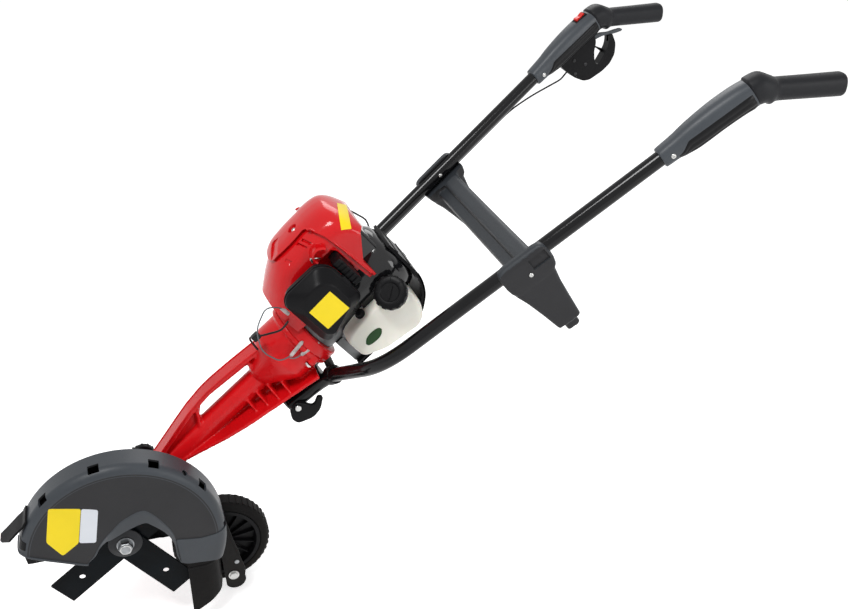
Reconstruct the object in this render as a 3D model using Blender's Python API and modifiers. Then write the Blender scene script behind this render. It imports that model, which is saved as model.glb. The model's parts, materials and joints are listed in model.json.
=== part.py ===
"""Petrol lawn edger: a blade under a half-round guard, driven through a sloping
cast housing by a small engine, with one wheel and a two-tube handlebar.

Metres, +Z up, +X to the rear (towards the operator), +Y to the machine's right.
Shapes are drawn from the blade's axis (hub frame) or along the drive shaft
(drive frame: x along the shaft, z square to it). The whole machine is then
stood on the ground, centred over the origin.
"""
from math import atan, atan2, cos, hypot, pi, radians, sin, sqrt

import bmesh
import bpy
from mathutils import Matrix, Vector

# Fits
GAP = 0.0003                # clearance between touching pieces
MERGE = 0.00002
DRIVE_TILT = radians(40.0)
HANDLE_TILT = radians(38.02)

# blade end, about the hub's Y axis
ARBOR_R = 0.008
ARBOR_FLANGE_R = 0.025
ARBOR_FLANGE_T = 0.006
BLADE_SEAT_Y = -0.092       # outer face of the arbor's flange
BLADE_R = 0.127
BLADE_W = 0.046
BLADE_T = 0.0032
BLADE_TILT = radians(36.9)
BLADE_HOLE_R = 0.0045
BLADE_HOLE_AT = 0.086
WASHER_T = 0.0047
NUT_AF = 0.019
NUT_H = 0.0115

# guard
GUARD_R = 0.148
GUARD_WALL = 0.003
GUARD_FACE_Y = -0.118
GUARD_BACK_Y = -0.071
GUARD_SHOULDER_R = 0.010
GUARD_SHOULDER_Y = 0.014
GUARD_STEPS = 48
GUARD_SLOT = (0.011, 0.008)
GUARD_SLOTS = 6
GUARD_SLOT_FIRST = radians(165.4)
GUARD_SLOT_STEP = radians(32.8)
GUARD_SCREW_AT = radians(48.0)
GUARD_SCREW_R = 0.0028
BACK_PLATE_T = 0.003
BACK_PLATE_FOOT_Z = -0.026
FLAP_T = 0.003
FRONT_FLAP_W = 0.038
REAR_FLAP_TOP_Z = -0.040
BRACKET_T = 0.003

# cast housing
HEAD_R = 0.040
HEAD_LEFT_Y = -0.058
HEAD_RIGHT_Y = 0.042
NOSE_R = 0.028
HEAD_CAVITY_R = 0.032
HEAD_CAVITY_Y = -0.050
ARBOR_BEARING_R = 0.016
ARBOR_BEARING_W = 0.0105
TUNNEL_R = 0.0185
TUNNEL_DROP = 0.0045
TUNNEL_END = 0.325
SHAFT_R = 0.004
SHAFT_BEARING_R = 0.011
SHAFT_BEARING_W = 0.007
BUSH_END_S = 0.050
UPPER_BEARING_S = 0.323
SHAFT_BORE_R = 0.009
BELL_START = 0.300
BELL_FULL = 0.348
BELL_R = 0.050
BELL_WALL = 0.008
BELL_FLANGE_R = 0.056
BELL_FLANGE_T = 0.008
BELL_END = 0.394
WEB_T = 0.008
RAIL_W = 0.030
RAIL_T = 0.007
SLAB_T = 0.005
SLAB_SLOPE = atan(0.1533)
SLAB_AT = (0.170, -0.018)   # a point of the lower slab, along and off the shaft
SLAB_REAR_HALF = 0.052
COVER_T = 0.0077
COVER_BOSS_R = 0.014
COVER_BOSS_H = 0.010

# gears and clutch
GEAR_RATIO = 1.6
GEAR_TEETH = 16
PINION_TEETH = 10
GEAR_BACK_Y = 0.015
GEAR_FRONT_Y = 0.00875
GEAR_HUB_R = 0.012
GEAR_HUB_END_Y = 0.024
PINION_HUB_R = 0.009
PINION_HUB_L = 0.0048
MESH_SHIFT = 0.0007
TOOTH_DEPTH = 0.0016
DRUM_BASE_S = 0.354
DRUM_R = 0.039
DRUM_WALL = 0.002
DRUM_END_S = 0.381
DRUM_HUB_R = 0.007
SHOE_CLEAR = 0.0008
CRANK_R = 0.006
CRANK_START_S = 0.358
CRANK_END_S = 0.541

# engine
ADAPTER_T = 0.0177
CRANKCASE_R = 0.046
CRANKCASE_END_S = 0.498
CRANKCASE_CAVITY_R = 0.036
CRANKCASE_WALL = 0.008
LUG_S = (0.424, 0.437)
LUG_HALF_Y = 0.030
LUG_FOOT_T = -0.084
CYLINDER_S = 0.456
CYLINDER_CORE_R = 0.024
CYLINDER_BORE_R = 0.0175
CYLINDER_TOP_T = 0.110
FIN_HALF = 0.026
FIN_T = 0.0024
FIN_COUNT = 6
FIN_FIRST_T = 0.053
FIN_STEP = 0.0102
PLUG_R = 0.005
COVER_HALF_Y = 0.060
COVER_SHELL = 0.0025
RECOIL_R = 0.058
RECOIL_WALL = 0.003
RECOIL_END_S = 0.585
DUCT_END_S = 0.5765
DUCT_TOP_T = 0.092
FLYWHEEL_R = 0.050
FLYWHEEL_S = (0.505, 0.530)
PULLEY_R = 0.024
PULLEY_S = (0.547, 0.560)
PULLEY_POST_R = 0.005
CLEANER_OUT_Y = -0.115
CLEANER_SEAT_Y = -0.078
CLEANER_BASE_T = 0.012
CLEANER_S = (0.433, 0.516)
CLEANER_T = (0.020, 0.108)
CLEANER_WALL = 0.0025
CLEANER_CORNER = 0.012
TANK_HALF_Y = (-0.078, 0.070)
TANK_WALL = 0.0025
CAP_AT = (0.545, -0.087, -0.003)    # middle of the cap's top: along, across and off the shaft
NECK_LEAN = radians(45.0)
NECK_R = 0.017
NECK_BORE_R = 0.0125
NECK_LENGTH = 0.021
CAP_R = 0.026
CAP_TOP = 0.0025
CAP_H = 0.011
STRAP_HALF_Y = 0.040
STRAP_T = 0.005

# wheel
WHEEL_X = 0.1435
WHEEL_Z = -0.0915
TYRE_R = 0.078
TYRE_INNER_R = 0.062
WHEEL_Y = (-0.038, -0.003)
AXLE_R = 0.008
ARM_Y = 0.0525
ARM_T = 0.004
ARM_HALF_W = 0.014
STUD_X = 0.042
STUD_Z = 0.034
STUD_R = 0.004
EAR_Y = (0.030, 0.041)
EAR_HALF_W = 0.011
QUADRANT_R = 0.067
KNOB_R = 0.020
KNOB_H = 0.020

# handlebar
TUBE_R = 0.011
TUBE_WALL = 0.0015
TUBE_SIDES = 4              # bevel resolution: twelve sides
TUBE_LINE_OFF = -0.0314
TUBE_HALF_Y = 0.2084        # half spacing of the tubes at TUBE_HALF_AT along them
TUBE_HALF_AT = 0.900
TUBE_SPLAY = 0.133
CLAMP_HALF_Y = 0.030
PIVOT_S = 0.312
PIVOT_T = -0.065
PIVOT_R = 0.005
KNUCKLE_AT = 1.090
GRIP_END_X = 1.011
GRIP_END_HALF_Y = 0.244
GRIP_R = 0.016
SHELL_FROM = 0.946
SHELL_TO = 1.086
CONSOLE_AT = 0.716
CONSOLE_LENGTH = 0.080
CONSOLE_HALF_W = 0.016
LEG_LENGTH = 0.120
CROSSBAR_W = 0.046
CABLE_R = 0.0015
CABLE_ENTRY = (0.8335, 0.2297, 0.5585)
CABLE_SPLIT = 0.585
COVER_ENTRY = (0.566, 0.074, 0.084)
CARB_TOP = (0.470, -0.050, 0.086)
RING_W = 0.018
TRIGGER_AT = (0.875, 0.6045)
SWITCH_AT = 1.070
SWITCH_LIFT = 0.0207
SWITCH_HALF = (0.0090, 0.0045)

RED = (0.55, 0.012, 0.014)
BLACK = (0.012, 0.012, 0.013)
RUBBER = (0.02, 0.02, 0.021)
GREY = (0.085, 0.095, 0.105)
STEEL = (0.5, 0.5, 0.5)
ALLOY = (0.42, 0.42, 0.41)

TO_Y = (-pi / 2, 0.0, 0.0)      # turns local Z to +Y
TO_X = (0.0, pi / 2, 0.0)       # turns local Z to +X
PLANES = {
    "XZ": ((pi / 2, 0.0, 0.0), 1),
    "YZ": ((pi / 2, 0.0, pi / 2), 0),
    "XY": ((0.0, 0.0, 0.0), 2),
}


# Scene helpers
def clear_scene():
    for ob in list(bpy.data.objects):
        bpy.data.objects.remove(ob, do_unlink=True)


def new_collection(name):
    coll = bpy.data.collections.new(name)
    bpy.context.scene.collection.children.link(coll)
    return coll


def empty(name, parent=None, location=(0.0, 0.0, 0.0), rotation=(0.0, 0.0, 0.0)):
    """A frame or a joint axis."""
    ob = bpy.data.objects.new(name, None)
    ob.empty_display_size = 0.03
    GUIDES.objects.link(ob)
    ob.parent = parent
    ob.location = location
    ob.rotation_euler = rotation
    return ob


def joint_frame(name, parent, point):
    """An empty on a joint's axis, and a frame under it that lies where the parent's does."""
    axis = empty(name, parent, point)
    return empty(name + "_frame", axis, [-c for c in point])


def place(name, data, frame, location=(0.0, 0.0, 0.0), rotation=(0.0, 0.0, 0.0)):
    ob = bpy.data.objects.new(name, data)
    PARTS.objects.link(ob)
    ob.parent = frame
    ob.location = location
    ob.rotation_euler = rotation
    return ob


def mesh_from(bm, name):
    bmesh.ops.recalc_face_normals(bm, faces=bm.faces)
    mesh = bpy.data.meshes.new(name)
    bm.to_mesh(mesh)
    bm.free()
    return mesh


def as_tool(ob):
    """Moves an object to the cutters, out of the model."""
    PARTS.objects.unlink(ob)
    CUTTERS.objects.link(ob)
    ob.hide_render = True
    ob.display_type = "WIRE"
    return ob


def boolean(ob, operation, tools):
    for tool in tools:
        as_tool(tool)
        mod = ob.modifiers.new(operation.lower(), "BOOLEAN")
        mod.operation = operation
        mod.object = tool
    return ob


def cut(ob, *tools):
    return boolean(ob, "DIFFERENCE", tools)


def join(ob, *tools):
    return boolean(ob, "UNION", tools)


def finish(ob, colour, roughness, metallic=0.0, smooth=None):
    """Gives a piece its own material, and smooth shading up to an angle."""
    mat = bpy.data.materials.new(ob.name)
    mat.use_nodes = True
    shader = mat.node_tree.nodes["Principled BSDF"]
    shader.inputs["Base Color"].default_value = (*colour, 1.0)
    shader.inputs["Roughness"].default_value = roughness
    shader.inputs["Metallic"].default_value = metallic
    ob.data.materials.clear()
    ob.data.materials.append(mat)
    if smooth is not None and ob.type == "MESH":
        ob.data.shade_smooth()
        ob.data.set_sharp_from_angle(angle=radians(smooth))
    return ob


# Shape helpers
def box(name, frame, low, high, bevel=0.0, rotation=(0.0, 0.0, 0.0)):
    """A block between two corners of its frame."""
    centre = [(a + b) / 2 for a, b in zip(low, high)]
    size = [b - a for a, b in zip(low, high)]
    bm = bmesh.new()
    bmesh.ops.create_cube(bm, size=1.0, matrix=Matrix.Diagonal((*size, 1.0)))
    ob = place(name, mesh_from(bm, name), frame, centre, rotation)
    if bevel:
        round_edges(ob, bevel)
    return ob


def round_edges(ob, width, segments=1, angle=40.0):
    mod = ob.modifiers.new("round", "BEVEL")
    mod.width = width
    mod.segments = segments
    mod.limit_method = "ANGLE"
    mod.angle_limit = radians(angle)
    return ob


def cylinder(name, frame, start, length, radius, rotation=(0.0, 0.0, 0.0), sides=24):
    """A round bar from a point along its local Z."""
    bm = bmesh.new()
    bmesh.ops.create_cone(bm, cap_ends=True, segments=sides, radius1=radius, radius2=radius,
                          depth=length, matrix=Matrix.Translation((0.0, 0.0, length / 2)))
    return place(name, mesh_from(bm, name), frame, start, rotation)


def turned(name, frame, profile, location=(0.0, 0.0, 0.0), rotation=(0.0, 0.0, 0.0), steps=32):
    """A profile of (radius, height) turned about local Z; it may start and end on the axis."""
    area = sum(a[0] * b[1] - b[0] * a[1] for a, b in zip(profile, profile[1:] + profile[:1]))
    points = list(profile) if area < 0 else list(reversed(profile))
    while points[0][0] > MERGE and any(p[0] <= MERGE for p in points):
        points = points[1:] + points[:1]
    if points[0][0] <= MERGE and points[-1][0] > MERGE:
        points = points[1:] + points[:1]
        while points[0][0] > MERGE:
            points = points[1:] + points[:1]
    on_axis = any(p[0] <= MERGE for p in points)
    bm = bmesh.new()
    verts = [bm.verts.new((r, 0.0, h)) for r, h in points]
    last = len(verts) - 1 if on_axis else len(verts)
    for i in range(last):
        bm.edges.new((verts[i], verts[(i + 1) % len(verts)]))
    mesh = bpy.data.meshes.new(name)
    bm.to_mesh(mesh)
    bm.free()
    ob = place(name, mesh, frame, location, rotation)
    mod = ob.modifiers.new("turn", "SCREW")
    mod.steps = mod.render_steps = steps
    mod.use_merge_vertices = True
    mod.merge_threshold = MERGE
    mod.use_smooth_shade = True
    return ob


def to_mesh(ob):
    """Swaps a curve object for a mesh object of the same name, with its caps welded."""
    bpy.context.view_layer.update()
    evaluated = ob.evaluated_get(bpy.context.evaluated_depsgraph_get())
    mesh = bpy.data.meshes.new_from_object(evaluated)
    bm = bmesh.new()
    bm.from_mesh(mesh)
    bmesh.ops.remove_doubles(bm, verts=bm.verts, dist=MERGE)
    bm.to_mesh(mesh)
    bm.free()
    name, frame, basis = ob.name, ob.parent, ob.matrix_basis.copy()
    bpy.data.objects.remove(ob, do_unlink=True)
    new = place(name, mesh, frame)
    new.matrix_basis = basis
    return new


def plate(name, frame, outline, thickness, plane, centre):
    """A flat outline with its thickness along the plane's normal, at a centre along it."""
    rotation, axis = PLANES[plane]
    curve = bpy.data.curves.new(name, "CURVE")
    curve.dimensions = "2D"
    curve.fill_mode = "BOTH"
    curve.extrude = thickness / 2
    curve.resolution_u = 1
    spline = curve.splines.new("POLY")
    spline.points.add(len(outline) - 1)
    for point, (x, y) in zip(spline.points, outline):
        point.co = (x, y, 0.0, 1.0)
    spline.use_cyclic_u = True
    location = [0.0, 0.0, 0.0]
    location[axis] = centre
    return to_mesh(place(name, curve, frame, location, rotation))


def tube(name, frame, route, radius, resolution=4, radii=None):
    """A round tube or wire along a route, with closed ends."""
    curve = bpy.data.curves.new(name, "CURVE")
    curve.dimensions = "3D"
    curve.bevel_depth = radius
    curve.bevel_resolution = resolution
    curve.use_fill_caps = True
    curve.resolution_u = 1
    spline = curve.splines.new("POLY")
    spline.points.add(len(route) - 1)
    for i, (point, co) in enumerate(zip(spline.points, route)):
        point.co = (*co, 1.0)
        point.radius = radii[i] / radius if radii else 1.0
    return to_mesh(place(name, curve, frame))


def sheet(name, frame, path, width, thickness, plane, centre, offset=0.0):
    """A bent strip: an open path in a plane, drawn out along its normal and thickened."""
    rotation, axis = PLANES[plane]
    bm = bmesh.new()
    row = [bm.verts.new((x, y, -width / 2)) for x, y in path]
    edges = [bm.edges.new(pair) for pair in zip(row, row[1:])]
    drawn = bmesh.ops.extrude_edge_only(bm, edges=edges)["geom"]
    verts = [v for v in drawn if isinstance(v, bmesh.types.BMVert)]
    bmesh.ops.translate(bm, verts=verts, vec=(0.0, 0.0, width))
    location = [0.0, 0.0, 0.0]
    location[axis] = centre
    ob = place(name, mesh_from(bm, name), frame, location, rotation)
    mod = ob.modifiers.new("thickness", "SOLIDIFY")
    mod.thickness = thickness
    mod.offset = offset
    mod.use_even_offset = True
    return ob


def loft(name, frame, rings):
    """A closed skin over a row of rings with as many points each."""
    bm = bmesh.new()
    rows = [[bm.verts.new(p) for p in ring] for ring in rings]
    for a, b in zip(rows, rows[1:]):
        for i in range(len(a)):
            j = (i + 1) % len(a)
            bm.faces.new((a[i], a[j], b[j], b[i]))
    bm.faces.new(rows[0])
    bm.faces.new(rows[-1])
    return place(name, mesh_from(bm, name), frame)


def rounded(points, radius, steps=3, closed=True):
    """The points with each corner eased over about the radius, in 2D or 3D."""
    pts = [Vector(p) for p in points]
    out = []
    count = len(pts)
    for i, p in enumerate(pts):
        if not closed and i in (0, count - 1):
            out.append(tuple(p))
            continue
        before, after = pts[i - 1] - p, pts[(i + 1) % count] - p
        reach_a = min(radius, before.length * 0.45)
        reach_b = min(radius, after.length * 0.45)
        a = p + before.normalized() * reach_a
        b = p + after.normalized() * reach_b
        for k in range(steps + 1):
            u = k / steps
            out.append(tuple(a * (1 - u) ** 2 + p * 2 * u * (1 - u) + b * u * u))
    return out


def arc(centre, radius, start, end, steps):
    """Points on an arc in degrees, both ends included."""
    out = []
    for k in range(steps + 1):
        a = radians(start + (end - start) * k / steps)
        out.append((centre[0] + radius * cos(a), centre[1] + radius * sin(a)))
    return out


def oval(centre, across, up, half_across, half_up, half_down, sides=16, square=2.6):
    """A ring of points: a rounded oval on two directions from its centre."""
    ring = []
    for k in range(sides):
        a = 2 * pi * k / sides
        c, s = cos(a), sin(a)
        reach = (abs(c) ** square + abs(s) ** square) ** (-1 / square)
        height = half_up if s > 0 else half_down
        ring.append(centre + across * (half_across * reach * c) + up * (height * reach * s))
    return ring


def drive_point(s, t, y=0.0):
    """A point of the drive frame in the hub frame."""
    c, n = cos(DRIVE_TILT), sin(DRIVE_TILT)
    return Vector((s * c - t * n, y, s * n + t * c))


# Blade end
def blade_bar(name, index, frame):
    """One double-ended bar; the second lies on the first, a quarter turn round."""
    seat = BLADE_SEAT_Y - GAP - index * (BLADE_T + GAP)
    half = BLADE_W / 2
    outline = [(-BLADE_R, -half), (BLADE_R, -half), (BLADE_R, half), (-BLADE_R, half)]
    bar = plate(name, frame, outline, BLADE_T, "XZ", seat - BLADE_T / 2)
    bar.rotation_euler.rotate_axis("Z", BLADE_TILT - index * pi / 2)
    bores = [(0.0, ARBOR_R + GAP), (BLADE_HOLE_AT, BLADE_HOLE_R), (-BLADE_HOLE_AT, BLADE_HOLE_R)]
    for i, (at, radius) in enumerate(bores):
        turn = BLADE_TILT - index * pi / 2
        start = (at * cos(turn), seat - 2 * BLADE_T, at * sin(turn))
        cut(bar, cylinder(f"{name}_bore_{i}", frame, start, 4 * BLADE_T, radius, TO_Y, 16))
    return finish(bar, (0.03, 0.035, 0.04), 0.35, 0.8)


def blade_end(blade):
    stack = BLADE_SEAT_Y - 2 * (BLADE_T + GAP) - GAP
    washer = stack - WASHER_T
    nut = washer - GAP - NUT_H
    inner = BLADE_SEAT_Y + ARBOR_FLANGE_T
    arbor = turned("blade_arbor", blade, [
        (0.0, HEAD_RIGHT_Y - 0.002), (ARBOR_R, HEAD_RIGHT_Y - 0.002), (ARBOR_R, inner),
        (ARBOR_FLANGE_R, inner), (ARBOR_FLANGE_R, BLADE_SEAT_Y), (ARBOR_R, BLADE_SEAT_Y),
        (ARBOR_R, nut - 0.0012), (0.0, nut - 0.0012)], rotation=TO_Y, steps=24)
    finish(arbor, STEEL, 0.3, 1.0)
    blade_bar("blade_bar_1", 0, blade)
    blade_bar("blade_bar_2", 1, blade)
    flange = turned("outer_flange", blade, [
        (ARBOR_R + GAP, stack), (ARBOR_FLANGE_R, stack), (ARBOR_FLANGE_R - 0.001, washer + 0.002),
        (ARBOR_FLANGE_R - 0.008, washer), (ARBOR_R + GAP, washer)], rotation=TO_Y, steps=32)
    finish(flange, (0.02, 0.022, 0.025), 0.4, 0.6)
    hex_nut = cylinder("blade_nut", blade, (0.0, nut, 0.0), NUT_H, NUT_AF / sqrt(3), TO_Y, 6)
    cut(hex_nut, cylinder("blade_nut_bore", blade, (0.0, nut - 0.002, 0.0), NUT_H + 0.004,
                          ARBOR_R + GAP, TO_Y, 24))
    finish(hex_nut, STEEL, 0.3, 1.0)


# Guard
def guard(hub):
    inner = GUARD_R - GUARD_WALL
    shoulder = GUARD_R - GUARD_SHOULDER_R
    face_in = GUARD_FACE_Y + GUARD_WALL
    low = GUARD_FACE_Y + GUARD_SHOULDER_Y
    cup = turned("blade_guard", hub, [
        (GUARD_R, GUARD_BACK_Y), (GUARD_R, low), (shoulder, GUARD_FACE_Y), (0.0, GUARD_FACE_Y),
        (0.0, face_in), (shoulder - GUARD_WALL / 3, face_in), (inner, low + GUARD_WALL / 3),
        (inner, GUARD_BACK_Y)], rotation=TO_Y, steps=GUARD_STEPS)
    far = 2 * GUARD_R
    mouth = [(-far, 0.030), (-0.147, 0.030), (-0.061, -0.011), (-0.052, -0.007), (-0.040, 0.016),
             (-0.005, 0.039), (0.029, 0.046), (0.046, 0.034), (0.058, 0.019), (0.068, -0.002),
             (0.071, -0.039), (0.084, -0.046), (0.145, -0.052), (far, -0.052), (far, -far),
             (-far, -far)]
    cut(cup, plate("guard_mouth", hub, mouth, 0.080, "XZ", (GUARD_FACE_Y + GUARD_BACK_Y) / 2))
    for i in range(GUARD_SLOTS):
        angle = GUARD_SLOT_FIRST - i * GUARD_SLOT_STEP
        radius = GUARD_R - 0.003
        centre = (radius * cos(angle), GUARD_FACE_Y + GUARD_SHOULDER_Y / 2, radius * sin(angle))
        half_w, half_h = GUARD_SLOT[0] / 2, GUARD_SLOT[1] / 2
        slot = box(f"guard_slot_{i}", hub, (-half_h, -GUARD_SHOULDER_Y / 2, -half_w),
                   (half_h, GUARD_SHOULDER_Y / 2, half_w))
        slot.location = centre
        slot.rotation_euler = (0.0, -angle, 0.0)
        cut(cup, slot)
    screw = ((GUARD_R - 0.007) * cos(GUARD_SCREW_AT), GUARD_FACE_Y - 0.004,
             (GUARD_R - 0.007) * sin(GUARD_SCREW_AT))
    cut(cup, cylinder("guard_screw_hole", hub, screw, 0.020, GUARD_SCREW_R, TO_Y, 12))
    finish(cup, GREY, 0.45, smooth=30)

    disc_r = inner - GAP
    disc = turned("guard_back_plate", hub, [
        (0.012, GUARD_BACK_Y), (disc_r, GUARD_BACK_Y), (disc_r, GUARD_BACK_Y - BACK_PLATE_T),
        (0.012, GUARD_BACK_Y - BACK_PLATE_T)], rotation=TO_Y, steps=GUARD_STEPS)
    cut(disc, box("back_plate_foot", hub, (-far, -far, -far), (far, far, BACK_PLATE_FOOT_Z)))
    finish(disc, BLACK, 0.5, 0.2)

    mid = GUARD_R + GAP + FLAP_T / 2
    path = arc((0.0, 0.0), mid, 140.0, 156.0, 4)
    x, z = path[-1]
    path += [(x - 0.0102, z - 0.0109), (x - 0.0302, z - 0.0209)]
    flap_y = GUARD_BACK_Y - 0.003 - FRONT_FLAP_W / 2
    finish(sheet("front_flap", hub, path, FRONT_FLAP_W, FLAP_T, "XZ", flap_y), RUBBER, 0.7)

    face = face_in + GAP + FLAP_T / 2
    rear = GUARD_R - 0.0155
    plan = rounded([(rear - 0.0465, face), (rear - 0.0185, face), (rear - 0.0025, face + 0.009),
                    (rear, -0.087)], 0.010, 2, closed=False)
    foot = -0.175
    drop = REAR_FLAP_TOP_Z - foot
    flap = sheet("rear_flap", hub, plan, drop, FLAP_T, "XY", (REAR_FLAP_TOP_Z + foot) / 2)
    hem = [(0.060, -0.163), (0.092, -0.157), (0.142, -0.127), (0.200, -0.107), (0.200, -0.300),
           (0.060, -0.300)]
    cut(flap, plate("rear_flap_hem", hub, hem, 0.100, "XZ", -0.100))
    finish(flap, RUBBER, 0.7)

    edge = GUARD_BACK_Y + GAP + BRACKET_T / 2
    outline = [(0.110, 0.000), (0.118, 0.012), (0.146, 0.005), (0.156, -0.050), (0.177, -0.128)]
    outline += arc((0.156, -0.146), 0.020, 20.0, -150.0, 8)
    outline += [(0.136, -0.045)]
    bracket = plate("skirt_bracket", hub, outline, BRACKET_T, "XZ", edge)
    for i, (x, z, r) in enumerate([(0.161, -0.106, 0.003), (0.154, -0.132, 0.0045)]):
        cut(bracket, cylinder(f"skirt_hole_{i}", hub, (x, edge - 0.01, z), 0.02, r, TO_Y, 12))
    finish(bracket, BLACK, 0.5, 0.2)


# Housing
def bevel_wheel(name, frame, teeth, small, large, rotation, location, hub_radius, hub_length, bore):
    """A cone of teeth cut inwards from its pitch cone, with a hub behind its large end."""
    rings = []
    for radius, height in (small, large):
        ring = []
        for k in range(teeth * 4):
            a = 2 * pi * k / (teeth * 4)
            depth = 0.0 if k % 4 < 2 else TOOTH_DEPTH * radius / large[0]
            ring.append(Vector(((radius - depth) * cos(a), (radius - depth) * sin(a), height)))
        rings.append(ring)
    ob = loft(name, frame, rings)
    ob.location, ob.rotation_euler = location, rotation
    start = large[1] - 0.001
    axis = Vector((0.0, 0.0, 1.0))
    axis.rotate(ob.rotation_euler)
    at = Vector(location) + axis * start
    join(ob, cylinder(name + "_hub", frame, at, hub_length + 0.001, hub_radius, rotation, 24))
    at = Vector(location) + axis * (small[1] - 0.002)
    depth = large[1] - small[1] + hub_length + 0.004
    cut(ob, cylinder(name + "_bore", frame, at, depth, bore, rotation, 24))
    return finish(ob, STEEL, 0.35, 1.0)


def bearing(name, frame, outer, inner, width, start, rotation):
    profile = [(inner, width), (outer, width), (outer, 0.0), (inner, 0.0)]
    return finish(turned(name, frame, profile, start, rotation, 20), STEEL, 0.25, 1.0)


def rail_line():
    """The top of the upper rail, along and off the shaft."""
    return [(0.036, 0.0066), (0.091, 0.019), (0.171, 0.037), (0.199, 0.042), (0.242, 0.045),
            (0.324, 0.0395), (0.350, 0.0345)]


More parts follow.
